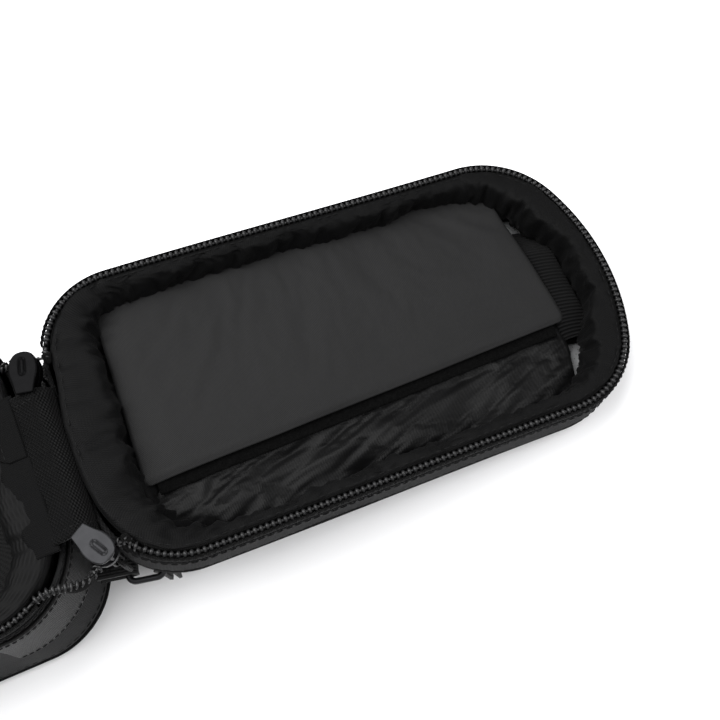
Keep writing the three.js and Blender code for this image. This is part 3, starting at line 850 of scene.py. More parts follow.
def add_teeth(sweeps, line, up, across, spread=1.0):
    """Coil loops at the zip's pitch along a line."""
    along = arc_lengths(line)
    count = int(along[-1] // ZIP_PITCH)
    radii = np.array([0.3, 0.34, 0.62, 0.95, 0.62, 0.34, 0.3])
    for k in range(count):
        where = (k + 0.5) * ZIP_PITCH
        centre, rise, side = (along_line(values, along, where) for values in (line, up, across))
        path = np.array(tooth_paths(centre, unit(rise), unit(side), spread))
        sweeps.tube(path, radii / math.sqrt(spread), sides=6)


def chain_part(start, end):
    """The samples of the rim's outline between the two chain ends, from v < 0 to v > 0."""
    ring = RIM.ring(0, 0)
    corner_u = HINGE_GAP + HINGE_CORNER_R
    angle = np.arctan2(np.abs(ring[:, 1]) - (HALF_WIDTH - HINGE_CORNER_R), corner_u - ring[:, 0])
    in_corner = ring[:, 0] < corner_u
    limit = np.where(ring[:, 1] < 0, start, end)
    return ~(in_corner & (angle < limit))


def build_zip(side, place, body, start, end):
    """One half of the zip round its rim: the coil, its tape and the two rows that hold it."""
    keep = chain_part(start, end)
    line = RIM.ring(TOOTH_INSET, TOOTH_LIFT)[keep]
    inner = RIM.ring(TOOTH_INSET + 1, TOOTH_LIFT)[keep]
    across = unit(inner - line)
    up = np.broadcast_to(UP, line.shape)
    teeth = Sweeps()
    add_teeth(teeth, line, up, across)
    cord = line - np.array([0, 0, 1.75])
    teeth.tube(cord, 0.55, sides=6)
    dress(teeth.object(side + "_zip_teeth", place), "coil", body, [side + "_zip_coil"])

    tape = Sweeps()
    for offset, depth in ((-0.42, 4.1), (0.42, 4.1), (-1.62, 2.75), (1.62, 2.75)):
        rows = line + offset * across - np.array([0, 0, depth])
        tape.tube(rows, 1.75, sides=8, flat=0.2, side_way=across)
    dress(tape.object(side + "_zip_tape_band", place), "tape", body, [side + "_zip_tape"])
    threads = Sweeps()
    for offset in (-1.95, 1.95):
        path = line + offset * across - np.array([0, 0, 2.2])
        stitches(path, offset * across, length=1.5, gap=0.65, radius=0.2, lift=0.0, sweeps=threads)
    dress_thread(threads, side + "_zip_stitching", place, body)


def bezier(a, b, c, d, count):
    t = np.linspace(0, 1, count)[:, None]
    return (1 - t) ** 3 * a + 3 * (1 - t) ** 2 * t * b + 3 * (1 - t) * t * t * c + t ** 3 * d


SLIDERS = {
    "near": (np.array([HINGE_X + 3.85, -40.4, RIM_HEIGHT]), math.pi + math.radians(30)),
    "far": (np.array([HINGE_X - 0.35, 24.6, RIM_HEIGHT]), -math.radians(13)),
}


def slider_axes(side):
    """A slider's centre, and its directions across and along."""
    centre, turn = SLIDERS[side]
    x = np.array([math.cos(turn), math.sin(turn), 0.0])
    y = np.array([-math.sin(turn), math.cos(turn), 0.0])
    return centre, x, y


def build_chain_end(side, half, place, body):
    """The free stretch of chain between a slider's mouth and the start of the rim's chain."""
    centre, x, y = slider_axes(side)
    angle = math.pi + CHAIN_START[side, half]
    radius = HINGE_CORNER_R - TOOTH_INSET
    corner_u, corner_v = HINGE_GAP + HINGE_CORNER_R, HINGE_CORNER_R - HALF_WIDTH
    point = np.array([corner_u + radius * math.cos(angle), corner_v + radius * math.sin(angle), TOOTH_LIFT])
    heading = np.array([-math.sin(angle), math.cos(angle), 0.0])
    inward = np.array([-math.cos(angle), -math.sin(angle), 0.0])
    if (side == "far") == (half == "lid"):
        for vector in (point, heading, inward):
            vector[1] *= -1
    goal = place(point)
    goal_way = place(point + heading) - goal
    goal_in = place(point + inward) - goal
    goal_up = place(point + UP) - goal
    toward = 1 if half == "lid" else -1
    away = x if x[0] * toward > 0 else -x
    mouth = centre + 4.8 * y + 2.6 * away
    reach = 0.4 * np.linalg.norm(goal - mouth)
    line = bezier(mouth, mouth + reach * (0.2 * y + 0.9 * away), goal - reach * goal_way, goal, 30)
    t = np.linspace(0, 1, 30)[:, None]
    if (side, half) == ("near", "body"):
        line += NEAR_CHAIN_SAG * np.sin(math.pi * t) * np.array([0.5, -0.86, -0.4])
    t = smoothstep(t)
    up = unit((1 - t) * (-away + np.array([0, 0, 0.35])) + t * goal_up)
    tangent = unit(np.gradient(line, axis=0))
    across = unit(np.cross(up, tangent))
    if across[-1] @ goal_in < 0:
        across = -across
    teeth = Sweeps()
    add_teeth(teeth, line, up, across, spread=OPEN_COIL_SPREAD)
    teeth.tube(line - 1.75 * up, 0.5, sides=6)
    name = side + "_" + half + "_chain_end"
    dress(teeth.object(name, at_rest), "coil", body)
    tape = Sweeps()
    tape.tube(line - 3.7 * up, 2.0, sides=8, flat=0.2, side_way=across)
    dress(tape.object(name + "_tape", at_rest), "tape", body)


# ---------------------------------------------------------------- sliders and pulls
PLATE_REACH = 7.5
PLATE_INSIDE = 1.9
PLATE_OUTSIDE = 3.0
PLATE_EDGE = 0.28


def slider_half_width(y):
    """The plate's half width by position along it: a blunt tail and a broad, rounded front."""
    places = [-PLATE_REACH, -7.2, -5.5, -3.0, -0.5, 1.5, 3.5, 5.2, 6.5, 7.2, PLATE_REACH]
    return np.interp(y, places, [2.7, 3.05, 3.4, 4.0, 4.8, 5.0, 4.8, 4.2, 3.2, 1.9, 0.6])


def add_plate(work, z0, z1, slot_depth=0.0):
    """A slider plate: bevelled edges, with a long pressed slot near its front."""
    rows = np.linspace(-PLATE_REACH, PLATE_REACH, 41)
    half = slider_half_width(rows)
    columns = np.linspace(-1, 1, 25)
    verts = {}
    for level, z in enumerate((z0, z1)):
        for i, y in enumerate(rows):
            for j, c in enumerate(columns):
                x = c * half[i]
                gap = min(half[i] - abs(x), PLATE_REACH - abs(y))
                drop = PLATE_EDGE * max(0.0, 1 - gap / PLATE_EDGE) ** 2
                height = z
                if level == 1:
                    height -= drop
                    dx, dy = (x + 0.2) / 1.05, max(0.0, abs(y - 2.2) - 2.1) / 1.05
                    ring = math.hypot(dx, dy)
                    height -= slot_depth * math.exp(-(((ring - 0.85) / 0.28) ** 2))
                    height += 0.25 * slot_depth * math.exp(-((ring / 0.7) ** 2))
                else:
                    height += drop
                verts[level, i, j] = work.verts.new((x * MM, y * MM, height * MM))
    n, m = len(rows), len(columns)
    for i in range(n - 1):
        for j in range(m - 1):
            for level in (0, 1):
                quad = [verts[level, i + a, j + b] for a, b in ((0, 0), (0, 1), (1, 1), (1, 0))]
                work.faces.new(quad if level else quad[::-1])
    border = (
        [(i, 0) for i in range(n)] + [(n - 1, j) for j in range(1, m)]
        + [(i, m - 1) for i in range(n - 2, -1, -1)] + [(0, j) for j in range(m - 2, 0, -1)]
    )
    for a, b in zip(border, border[1:] + border[:1]):
        work.faces.new([verts[(0, *a)], verts[(0, *b)], verts[(1, *b)], verts[(1, *a)]])


def add_bridge(work):
    """The wedge between the two plates, which parts the chains."""
    bridge = [(7.3, 0.4), (6.2, 1.15), (4.6, 1.3), (3.0, 0.7), (2.4, 0.2)]
    rows = []
    for z, swell in ((-2.2, 1.25), (-1.0, 1.0), (1.0, 1.0), (2.2, 1.25)):
        ring = [(a * swell, b, z) for b, a in bridge] + [(-a * swell, b, z) for b, a in bridge[::-1]]
        rows.append([work.verts.new(Vector(p) * MM) for p in ring])
    for low, high in zip(rows, rows[1:]):
        for k in range(len(low)):
            m = (k + 1) % len(low)
            work.faces.new([low[k], low[m], high[m], high[k]])
    work.faces.new(rows[0][::-1])
    work.faces.new(rows[-1])


def add_flanges(work):
    """The lips along the plates' edges, which keep the chains in."""
    for sign in (-1, 1):
        for z, tip in ((PLATE_INSIDE, 0.6), (-PLATE_INSIDE, -0.6)):
            path = [(sign * 4.55, -4.4), (sign * 4.8, -1.0), (sign * 4.85, 1.5), (sign * 4.5, 4.2)]
            path = [(min(abs(a), slider_half_width(b) - 0.05) * sign, b) for a, b in path]
            outer = [work.verts.new(Vector((a, b, z)) * MM) for a, b in path]
            lip = [work.verts.new(Vector((a, b, tip)) * MM) for a, b in path]
            inner = [work.verts.new(Vector((a - sign * 0.8, b, z)) * MM) for a, b in path]
            lip_in = [work.verts.new(Vector((a - sign * 0.7, b, tip)) * MM) for a, b in path]
            for strip in ((outer, lip), (lip, lip_in), (lip_in, inner), (inner, outer)):
                for k in range(len(path) - 1):
                    work.faces.new([strip[0][k], strip[0][k + 1], strip[1][k + 1], strip[1][k]])
            for k in (0, -1):
                work.faces.new([outer[k], lip[k], lip_in[k], inner[k]])


def build_slider(side, look):
    """A slider: one casting of two plates, a bridge and flanges, and a lug for the pull below it."""
    centre, x, y = slider_axes(side)
    work = bmesh.new()
    add_plate(work, PLATE_INSIDE, PLATE_OUTSIDE, slot_depth=0.42)
    add_plate(work, -PLATE_INSIDE, -PLATE_OUTSIDE)
    add_bridge(work)
    add_flanges(work)
    bmesh.ops.recalc_face_normals(work, faces=work.faces)
    mesh = bpy.data.meshes.new(side + "_slider_casting")
    work.to_mesh(mesh)
    work.free()
    mesh.polygons.foreach_set("use_smooth", [True] * len(mesh.polygons))
    obj = place_object(side + "_slider_casting", mesh)
    lug = Sweeps()
    t = np.linspace(0, math.pi, 13)
    arch = stack(0.0, 2.5 + 2.1 * np.cos(t), -2.8 - 3.3 * np.sin(t))
    lug.tube(arch, 0.75, sides=8, side_way=np.array([1.0, 0, 0]))
    lug_obj = lug.object(side + "_slider_lug", at_rest)
    turn = Matrix(((x[0], y[0], 0, centre[0] * MM), (x[1], y[1], 0, centre[1] * MM),
                   (0, 0, 1, centre[2] * MM), (0, 0, 0, 1)))
    obj.data.transform(turn)
    lug_obj.data.transform(turn)
    modify(obj, "BEVEL", width=0.00018, segments=2, limit_method="ANGLE", angle_limit=math.radians(50))
    dress(obj, look, side + "_zip_slider", [side + "_slider"])
    dress(lug_obj, look, side + "_zip_slider")


def rounded_loop(width, height, radius):
    """A closed rectangle with round corners, centred, in its own plane."""
    points = []
    for quarter in range(4):
        cx = (width / 2 - radius) * (1 if quarter in (0, 3) else -1)
        cy = (height / 2 - radius) * (1 if quarter in (0, 1) else -1)
        for t in np.linspace(0, 1, 7):
            angle = (quarter + t) * math.pi / 2
            points.append((cx + radius * math.cos(angle), cy + radius * math.sin(angle)))
    points = np.array(points)
    closed = np.vstack([points, points[:1]])
    along = arc_lengths(closed)
    where = np.arange(0, along[-1], 0.6)
    return along_line(closed, along, where)


PULL_Y = 2.5
WIRE_TOP = -4.2
WIRE_LENGTH = 15.8
BRAID_DROP = 19.5


def build_pull(side):
    """The wire pull through the slider's lug, and the sewn loop of round braid on its end."""
    centre, x, y = slider_axes(side)
    def place(points):
        return centre + points[..., :1] * x + points[..., 1:2] * y + points[..., 2:] * UP

    flat = rounded_loop(3.4, WIRE_LENGTH, 0.8)
    wire = Sweeps()
    wire.tube(stack(flat[:, 0], PULL_Y, WIRE_TOP - 8.5 + flat[:, 1]), 0.6, sides=10, closed=True,
              side_way=np.array([0, 1.0, 0]))
    dress(wire.object(side + "_pull_wire", place), "dark_metal", side + "_zip_pull",
          [side + "_puller"])
    flat = rounded_loop(4.4, 10.2, 1.6)
    loop = Sweeps()
    radii = 0.92 + 0.08 * np.sin(np.arange(len(flat)) * 2.1)
    path = stack(0.0, PULL_Y + flat[:, 0], WIRE_TOP - BRAID_DROP + flat[:, 1])
    loop.tube(path, radii, sides=10, closed=True, side_way=np.array([1.0, 0, 0]))
    dress(loop.object(side + "_pull_braid", place), "webbing", side + "_zip_pull",
          [side + "_pull_cord"])


# ---------------------------------------------------------------- hinge
def hinge_arch(t):
    """The arch from the lid's rim (t = -1) over the hinge line to the body's (t = 1)."""
    crown = np.array([HINGE_X - 0.4, 0.0, RIM_HEIGHT + 0.4])
    on_lid = [to_lid(np.array(p)) for p in ((6.6, 0.0, -4.6), (3.6, 0, -1.4))]
    on_body = [to_body(np.array(p)) for p in ((4.2, 0, -0.5), (9.0, 0.0, -1.2))]
    line = resample(np.array(on_lid + [crown] + on_body), 0.8)
    along = arc_lengths(line)
    return along_line(line, along, (t + 1) / 2 * along[-1])


def bend_at_hinge(obj):
    """Bakes a piece's placement into its mesh."""
    start = to_body(np.array([6.0, 0, 0])) * MM
    end = to_lid(np.array([6.0, 0, -1.0])) * MM
    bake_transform(obj)


def build_hinge_webbing():
    """The coarse webbing that joins the halves, with its folded and stitched hems."""
    across = hinge_arch(np.linspace(-1, 1, 22))
    ys = np.linspace(STRIP_NEAR_Y - 2.5, STRIP_FAR_Y + 2.5, 60)
    grid = np.repeat(across[None], len(ys), axis=0)
    grid[..., 1] = ys[:, None]
    hem = np.maximum(smoothstep((STRIP_NEAR_Y + 1.5 - ys) / 1.0), smoothstep((ys - STRIP_FAR_Y + 1.5) / 1.0))
    grid[..., 2] += 0.55 * hem[:, None]
    grid[..., 2] += 0.45 * rough(grid, 11, 12.0)
    grid[..., 0] += 0.5 * rough(grid, 17, 18.0)
    band = grid_object("hinge_webbing_band", grid, at_rest, planar=False)
    thicken(band, 1.1)
    dress(band, "hinge", None, ["lid_hinge_strip", "body_hinge_strip"])
    bend_at_hinge(band)
    rows = Sweeps()
    for edge in (STRIP_NEAR_Y + 0.9, STRIP_FAR_Y - 0.9):
        path = hinge_arch(np.linspace(-0.85, 0.85, 30))
        path[:, 1] = edge
        path[:, 2] += 0.75
        stitches(path, UP, length=1.7, gap=0.8, radius=0.2, sweeps=rows)
    bend_at_hinge(dress_thread(rows, "hinge_hem_stitching", at_rest, None))


def build_hinge_facing():
    """The facing that covers the webbing's end on the body's side."""
    u = np.linspace(7.4, 19.0, 16)
    v = np.linspace(-STRIP_FAR_Y - 4.0, -STRIP_NEAR_Y + 4.5, 70)
    grid = stack(u[None], v[:, None], 0.0)
    tongue = smoothstep((v - 12.0) / 6.0) * (1 - smoothstep((v - 30.0) / 5.0))
    grid[..., 0] += (u[None] - 7.4) / 11.6 * (1.6 * np.sin(v / 7.0)[:, None] + 1.5 * tongue[:, None])
    grid[..., 2] = -0.7 - 0.25 * ((u - 13) / 6)[None] ** 2 + 0.35 * rough(grid, 12, 5.0)
    grid[..., 2] -= 2.2 * smoothstep((u - 16.5) / 3.0)[None]
    facing = grid_object("hinge_facing", grid, to_body)
    thicken(facing, 0.8)
    dress(facing, "hem", "bag_body", ["body_hinge_hem"])


def build_facing_overlap():
    """The short flap of facing that laps over its far end, sewn across."""
    v = np.linspace(-STRIP_FAR_Y - 3.0, 3.0, 44)
    u = np.linspace(8.2, 17.2, 14)
    grid = stack(u[None], v[:, None], 0.0)
    ragged = 1.1 * np.sin(v / 3.6) - 4.0 * smoothstep((v - 0.5) / 3.0)
    grid[..., 0] += (u[None] - 8.2) / 9 * ragged[:, None]
    grid[..., 2] += 0.3 * rough(grid, 8, 8.0) - 0.35 * ((u - 13) / 5)[None] ** 2
    tab = grid_object("hinge_facing_overlap", grid, to_body)
    thicken(tab, 0.7)
    dress(tab, "hem", "bag_body")
    line = stack(np.full(40, 15.4), np.linspace(-STRIP_FAR_Y - 3.0, 1.5, 40), 0.2)
    rows = stitches(line, UP, length=1.8, gap=0.8, radius=0.16, lift=0.05)
    dress_thread(rows, "hinge_facing_stitching", to_body, "bag_body")


# ---------------------------------------------------------------- phone pocket
FILM_THICK = 0.5


def flap_edge(u):
    """The flap's free edge across the bag, which runs a little askew."""
    return -23.2 + (u - 26.0) * 0.046


def build_window():
    """The clear film of the phone window."""
    under = [(9.0, -20.7, 14), (PARALLEL_INSET, -20.75, 19)]
    under += [(inset, -20.8, 19) for inset in (24, 36, 46, MIDDLE_INSET)]
    over = [(inset, w + FILM_THICK, hinge_inset) for inset, w, hinge_inset in under]
    grid = RIM.rings(under + over[::-1], 19.0)
    grid[..., 2] += 0.35 * rough(grid * np.array([1, 1, 0]), 22, 14.0)
    film = closed_object("window_pane", grid, to_lid)
    dress(film, "film", "lid", ["lid_window"])


def build_window_trim():
    """The webbing trim sewn round the window on the outside."""
    profile = [(7.2, -22.35, 16.2), (7.0, -22.75, 16.0), (7.6, -23.1, 16.6), (10.5, -23.2, 19.5),
               (13.4, -23.1, 22.4), (14.0, -22.7, 23.0), (13.8, -22.35, 22.8), (10.5, -22.3, 19.5)]
    grid = RIM.rings(closed_profile(profile, 0.8))
    binding = closed_object("window_trim", grid, to_lid)
    dress(binding, "tape", "lid", ["lid_window_binding"])
    rows = Sweeps()
    for inset in (8.2, 12.8):
        line = rim_line(inset, -23.1, inset + 9)
        stitches(line, -UP, sweeps=rows, radius=0.22)
    dress_thread(rows, "window_trim_stitching", to_lid, "lid")


def build_pocket_panel():
    """The twill panel of the phone pocket, pulled into slanting wrinkles below the flap."""
    u = np.linspace(27.0, 186.5, 146)
    t = np.linspace(0, 1, 62)
    top = flap_edge(u)[:, None] + 16.0
    low = -46.5 + 1.0 * np.sin(u / 19.0)[:, None]
    v = top + (low - top) * t[None]
    grid = stack(u[:, None], v, 0.0)
    grid[..., 0] += 2.2 * smoothstep((v + 33.0) / 6.0) * smoothstep((u[:, None] - 170.0) / 16.5)
    sink = smoothstep((-33.0 - v) / 12.0)
    ends = 1.2 * smoothstep((46 - u) / 18) + 0.6 * smoothstep((u - 176) / 14)
    base = -14.0 - 4.2 * sink - ends[:, None]
    below = flap_edge(u)[:, None] - 4.0 - v
    shown = smoothstep(below / 4.0)
    along = u[:, None] + 0 * v
    creases = rough(stack((v - along / 3.6) / 4.6, along / 30.0, 0.0), 1.0, 41.0, 2)
    broad = rough(stack((v - along / 2.6) / 10.0, along / 55.0, 0.0), 1.0, 47.0, 2)
    grid[..., 2] = base + shown * (1.1 * creases + 2.0 * broad)
    panel = grid_object("pocket_sheet", grid, to_lid)
    edge = np.zeros(grid.shape[:2], bool)
    edge[0], edge[-1], edge[:, 0], edge[:, -1] = True, True, True, True
    edge |= below < 0
    sew(panel, edge)
    settle(panel, grow=0.012, cap=1.2, frames=14)
    thicken(panel, 0.6)
    dress(panel, "panel", "lid", ["pocket_panel"])


def build_hook_and_loop():
    """The loop strip on the panel and the hook strip under the flap's free edge."""
    u = np.linspace(29.0, 186.0, 170)
    for name, w, near, far, lift, body, node in (
        ("pocket_loop_pile", -12.75, -4.3, 11.5, 0.22, "lid", "pocket_loop_strip"),
        ("flap_hook_pile", -11.7, 0.6, 11.0, 0.1, "flap", "flap_hook_strip"),
    ):
        v = np.linspace(near, far, 22)
        grid = stack(u[:, None], flap_edge(u)[:, None] + v[None], w)
        grid[..., 2] += lift * rough(grid, 1.7, 3.3, 3) + 0.2 * rough(grid, 20, 9.1)
        strip = thicken(grid_object(name, grid, to_lid), 0.55)
        dress(strip, "fuzz", body, [node])


def flap_surface(u, v):
    """The height of the flap's middle surface."""
    across = (v - flap_edge(u)) / (46.5 - flap_edge(u))
    crown = 1.5 * np.sin(np.clip(across, 0, 1) * math.pi) ** 0.8
    dent = -0.9 * np.exp(-(((u - 72) / 26) ** 2) - (((v - 20) / 16) ** 2))
    swell = 0.8 * np.exp(-(((u - 150) / 30) ** 2) - (((v - 8) / 18) ** 2))
    ends = -1.1 * smoothstep((40 - u) / 16) - 0.5 * smoothstep((u - 176) / 14)
    return -10.7 + crown + dent + swell + ends


def build_flap():
    """The smooth flap over the pocket, sewn along its far edge and loose along its near one."""
    u_line = np.linspace(0, 1, 130)
    t = np.concatenate([np.linspace(0, 0.07, 10)[:-1], np.linspace(0.07, 1, 46)])
    left = 25.2 + 3.0 * t
    right = 191.0 - 6.5 * t
    depth = t * 70.0
    corner = 2.4
    cut = np.where(depth < corner, corner - np.sqrt(np.maximum(corner ** 2 - (corner - depth) ** 2, 0)), 0.0)
    u = (left + cut)[None] + u_line[:, None] * (right - left - 2 * cut)[None]
    near = flap_edge(u)
    v = near + t[None] * (46.8 - near)
    w = flap_surface(u, v)
    curl = 1 - smoothstep((v - near) / 3.2)
    w -= 0.75 * curl ** 2
    side = np.minimum(u - left[None], right[None] - u)
    w -= 0.5 * (1 - smoothstep(side / 3.0)) ** 2
    hem = np.exp(-(((v - near - 6.2) / 0.7) ** 2)) * smoothstep((u - 120) / 30)
    w -= 0.22 * hem
    grid = stack(u, v, w)
    grid[..., 2] += 0.30 * rough(grid, 34, 17.0) + 0.05 * rough(grid, 6, 19.0)
    flap = grid_object("flap_sheet", grid, to_lid)
    held = np.zeros(grid.shape[:2], bool)
    held[:, -3:] = True
    sew(flap, held)
    settle(flap, grow=0.004, cap=0.8, frames=10, bending=1.0)
    thicken(flap, 0.85)
    dress(flap, "flap", None, ["pocket_flap"])
    start = to_lid(np.array([110.0, 45.5, -10.7])) * MM
    end = to_lid(np.array([110.0, 36.5, -10.7])) * MM
    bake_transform(flap)


def build_nose_band():
    """The ribbed elastic band at the nose: a flattened tube, sewn at its far end and open at its near one."""
    v = np.linspace(-23.5, 27.0, 86)
    t = (v - v[0]) / (v[-1] - v[0])
    centre_u = 194.6 - 1.0 * t
    top = -11.6 + 1.3 * np.sin(np.clip(t, 0, 1) * math.pi) - 6.0 * smoothstep((t - 0.72) / 0.28)
    thick = 2.4 * (1 - 0.75 * smoothstep((t - 0.45) / 0.5))
    thick = thick * (1 + 0.55 * np.exp(-((t / 0.12) ** 2)))
    angle = np.linspace(0, 2 * math.pi, 40, endpoint=False)
    half = 6.5 * (1 - 0.04 * np.exp(-((t / 0.1) ** 2)))

    def skin(shrink):
        u = centre_u[:, None] + (half - shrink)[:, None] * np.cos(angle)[None]
        w = (top - thick)[:, None] + np.maximum(thick - shrink, 0.15)[:, None] * np.sin(angle)[None]
        slant = v[:, None] - 0.18 * (u - 194.0)
        return stack(u, slant, w)

    outer, inner = skin(0.0), skin(0.55)
    rib = 0.16 * np.abs(np.sin(math.pi * v / 1.45))[:, None]
    outer[..., 2] += rib * np.sin(angle)[None]
    grid = np.concatenate([inner[:40][::-1], outer])
    band = grid_object("nose_elastic_band", grid, to_lid, wrap_cols=True, planar=False)
    tidy_mesh(band, 1e-7)
    dress(band, "elastic", "lid", ["nose_elastic"])


# ---------------------------------------------------------------- strap points
STRAP_POINTS = {
    "near": (HINGE_X - HINGE_GAP, -30.0, -math.radians(12), 2.4),
    "far": (HINGE_X - HINGE_GAP, 30.0, math.radians(12), 2.4),
    "tail": (-(HINGE_X - HINGE_GAP), 0.0, math.pi, 0.4),
}
STRAP_HEIGHT = 28.0
WEBBING_WIDTH = 24.0


def strap_place(side):
    """Takes points (out from the wall, across, up) to the row frame at a strap point."""
    x, y, turn, clear = STRAP_POINTS[side]
    cos, sin = math.cos(turn), math.sin(turn)

    def place(p):
        out, aside = p[..., 0] + clear, p[..., 1]
        return stack(x + out * cos - aside * sin, y + out * sin + aside * cos, STRAP_HEIGHT + p[..., 2])

    return place


def webbing_strip(name, line, width, thickness, place, seed=1.0, wander=0.0):
    """Flat webbing that follows a line of (x, z) points, with soft raised edges."""
    line = resample(line, 0.9)
    across = np.linspace(-width / 2, width / 2, 19)
    grid = stack(line[:, None, 0], across[None], line[:, None, 1])
    facing = normals_of(grid, False, False)
    edge = smoothstep((np.abs(across) - width / 2 + 1.4) / 1.4)[None]
    grid = grid - facing * (0.25 * edge - wander * rough(grid, 9, seed))[..., None]
    return thicken(grid_object(name, grid, place, planar=False), thickness)


def build_corner_webbing():
    """The webbing sewn round the body's near hinge corner, above the strap tab."""
    angle = np.radians(np.linspace(4, 96, 64))
    radius = HINGE_CORNER_R + 0.95
    w = -np.linspace(8.6, 33.0, 27)
    away = stack(-np.cos(angle), np.sin(angle), 0.0)[:, None]
    centre = stack(HINGE_GAP + HINGE_CORNER_R, HALF_WIDTH - HINGE_CORNER_R, w)[None]
    edge = smoothstep((np.abs(w + 20.8) - 10.8) / 1.4)[None, :, None]
    wander = 0.12 * rough(stack(angle[:, None] * 30, w[None], 0.0), 9, 3.0)[..., None]
    grid = centre + away * (radius - 0.25 * edge + wander)
    band = thicken(grid_object("near_corner_webbing", grid, to_body, planar=False), 1.1)
    dress(band, "webbing", "bag_body")
    rows = Sweeps()
    for height in (-9.9, -31.7):
        line = centre[:, :1] + away * (radius + 0.6)
        line = line[:, 0]
        line[:, 2] = height
        stitches(line, away[:, 0], length=1.9, gap=0.6, radius=0.22, sweeps=rows)
    dress_thread(rows, "near_corner_stitching", to_body, "bag_body")


def build_strap_point(side):
    """A webbing tab sewn to the wall, and its wire ring."""
    place = strap_place(side)
    back = 0.0 if side == "tail" else -1.6
    line = [(back, -2.7), (4.0, -2.6), (8.6, -2.6), (11.2, -1.9), (12.0, 0.0), (11.2, 1.9), (8.6, 2.6),
            (4.0, 2.6), (back, 2.7)]
    tab = webbing_strip(side + "_tab_webbing", line, WEBBING_WIDTH - 1, 1.2, place)
    dress(tab, "webbing", "bag_body", [side + "_strap_tab"])
    rows = Sweeps()
    for x in (2.0, 3.6):
        path = stack(np.full(24, x), np.linspace(-10.5, 10.5, 24), 3.25)
        stitches(path, UP, length=1.9, gap=0.6, radius=0.22, sweeps=rows)
    dress_thread(rows, side + "_tab_stitching", place, "bag_body")
    flat = rounded_loop(15.0 - 2.4, 30.0 - 2.4, 2.6)
    ring = Sweeps()
    ring.tube(stack(RING_START + 7.5 + flat[:, 0], flat[:, 1], 0.0), 1.15, sides=12, closed=True,
              side_way=UP)
    dress(ring.object(side + "_ring_wire", place), "satin_metal", side + "_ring",
          [side + "_strap_ring"])


def build_strap(side):
    """The end of the strap, folded round the ring and sewn below it, with a blank tag."""
    place = strap_place(side)
    bar = STRAP_BAR
    line = [(bar + 1.5, -18.0), (bar + 1.6, -10.0), (bar + 1.9, -4.6), (bar + 2.9, -1.6), (bar + 2.6, 1.3),
            (bar, 2.9), (bar - 2.6, 1.3), (bar - 2.9, -1.6), (bar - 1.9, -4.6), (bar - 1.6, -10.0),
            (bar - 1.5, -18.0)]
    strap = webbing_strip(side + "_strap_webbing", line, WEBBING_WIDTH, 1.2, place, seed=5.0, wander=0.1)
    dress(strap, "webbing", side + "_strap_end", [side + "_strap"])
    rows = Sweeps()
    for z in (-7.0, -9.2):
        path = stack(bar + 2.3, np.linspace(-10.8, 10.8, 24), np.full(24, z))
        stitches(path, np.array([1.0, 0, 0]), length=1.9, gap=0.6, radius=0.24, sweeps=rows)
    dress_thread(rows, side + "_strap_stitching", place, side + "_strap_end")
    y = np.linspace(-6, 6, 15)
    z = np.linspace(-16.5, -8.5, 11)
    grid = stack(bar + 2.75, y[:, None], z[None])
    frame_in = np.minimum(6 - np.abs(y)[:, None], 4 - np.abs(z + 12.5)[None])
    grid[..., 0] += 0.18 * np.exp(-(((frame_in - 1.1) / 0.4) ** 2))
    tag = thicken(grid_object(side + "_blank_tag", grid, place, planar=False), 0.9, subdivide=1)
    dress(tag, "tag", side + "_strap_end", [side + "_strap_tag"])


# ---------------------------------------------------------------- camera, light and table
CAMERA_PLACE = (0.19165, -0.14896, 0.41946)
CAMERA_RIGHT = Vector((0.919, -0.3851, -0.085))
CAMERA_UP = Vector((0.3899, 0.8547, 0.3428))
CAMERA_LENS = 57.24
TABLE_REACH = 3.0


def aim_camera():
    camera = bpy.data.cameras.new("camera")
    camera.lens = CAMERA_LENS
    camera.sensor_width = 36.0
    obj = place_object("camera", camera)
    back = CAMERA_RIGHT.cross(CAMERA_UP).normalized()
    up = back.cross(CAMERA_RIGHT).normalized()
    turn = Matrix((CAMERA_RIGHT.normalized(), up, back)).transposed().to_4x4()
    obj.matrix_world = Matrix.Translation(CAMERA_PLACE) @ turn
    bpy.context.scene.camera = obj


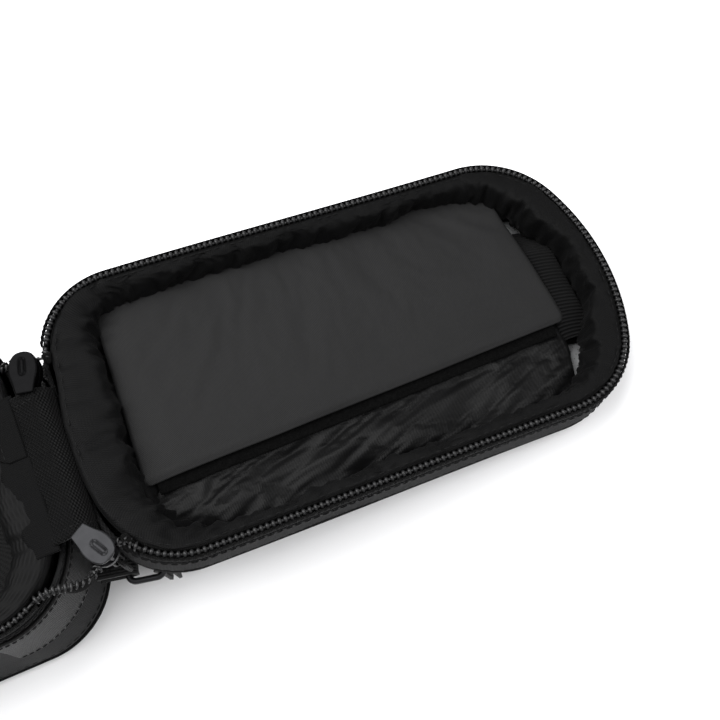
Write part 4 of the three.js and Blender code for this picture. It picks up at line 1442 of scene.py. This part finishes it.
def add_light(name, place, target, size, power):
    """A rectangular lamp that faces the target."""
    light = bpy.data.lights.new(name, "AREA")
    light.shape = "RECTANGLE"
    light.size, light.size_y = size
    light.energy = power
    obj = place_object(name, light)
    obj.location = place
    obj.rotation_euler = (Vector(target) - Vector(place)).to_track_quat("-Z", "Y").to_euler()


def light_scene():
    world = bpy.data.worlds.new("studio")
    world.use_nodes = True
    world.node_tree.nodes["Background"].inputs["Color"].default_value = (1, 1, 1, 1)
    world.node_tree.nodes["Background"].inputs["Strength"].default_value = 0.5
    bpy.context.scene.world = world
    bpy.context.scene.view_settings.view_transform = "Standard"
    middle = (0.12, 0.0, 0.04)
    add_light("key_panel", (-0.2, 0.3, 1.1), middle, (1.3, 1.1), 29.0)
    add_light("side_panel", (0.75, -0.35, 0.8), middle, (0.7, 0.6), 7.0)
    floor = bpy.data.meshes.new("table_top")
    corners = [(x * TABLE_REACH, y * TABLE_REACH, 0) for x, y in ((-1, -1), (1, -1), (1, 1), (-1, 1))]
    floor.from_pydata(corners, [], [(0, 1, 2, 3)])
    table = place_object("table_top", floor)
    table.location.z = -0.0003
    table.data.materials.append(LOOK["table"])


# ---------------------------------------------------------------- the whole bag
def build_bag():
    build_lid_shell()
    build_body_shell()
    build_base_pad()
    build_lid_lining()
    build_body_lining()
    build_zip("lid", to_lid, "lid", CHAIN_START["near", "lid"], CHAIN_START["far", "lid"])
    build_zip("body", to_body, "bag_body", CHAIN_START["far", "body"], CHAIN_START["near", "body"])
    for side in ("near", "far"):
        build_chain_end(side, "lid", to_lid, "lid")
        build_chain_end(side, "body", to_body, "bag_body")
    build_slider("near", "satin_metal")
    build_slider("far", "dark_metal")
    build_pull("near")
    build_pull("far")
    build_hinge_webbing()
    build_hinge_facing()
    build_facing_overlap()
    build_window()
    build_window_trim()
    build_pocket_panel()
    build_hook_and_loop()
    build_flap()
    build_nose_band()
    build_corner_webbing()
    for side in ("near", "far", "tail"):
        build_strap_point(side)
    for side in ("near", "far"):
        build_strap(side)


def paint_kept_nodes():
    """CAD nodes that stay in view get a finished material too."""
    for name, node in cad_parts.items():
        look = "board" if name == "base_stiffener" else "lining"
        if not node.hide_render:
            node.data.materials.clear()
            node.data.materials.append(LOOK[look])


aim_camera()
light_scene()
build_bag()
paint_kept_nodes()
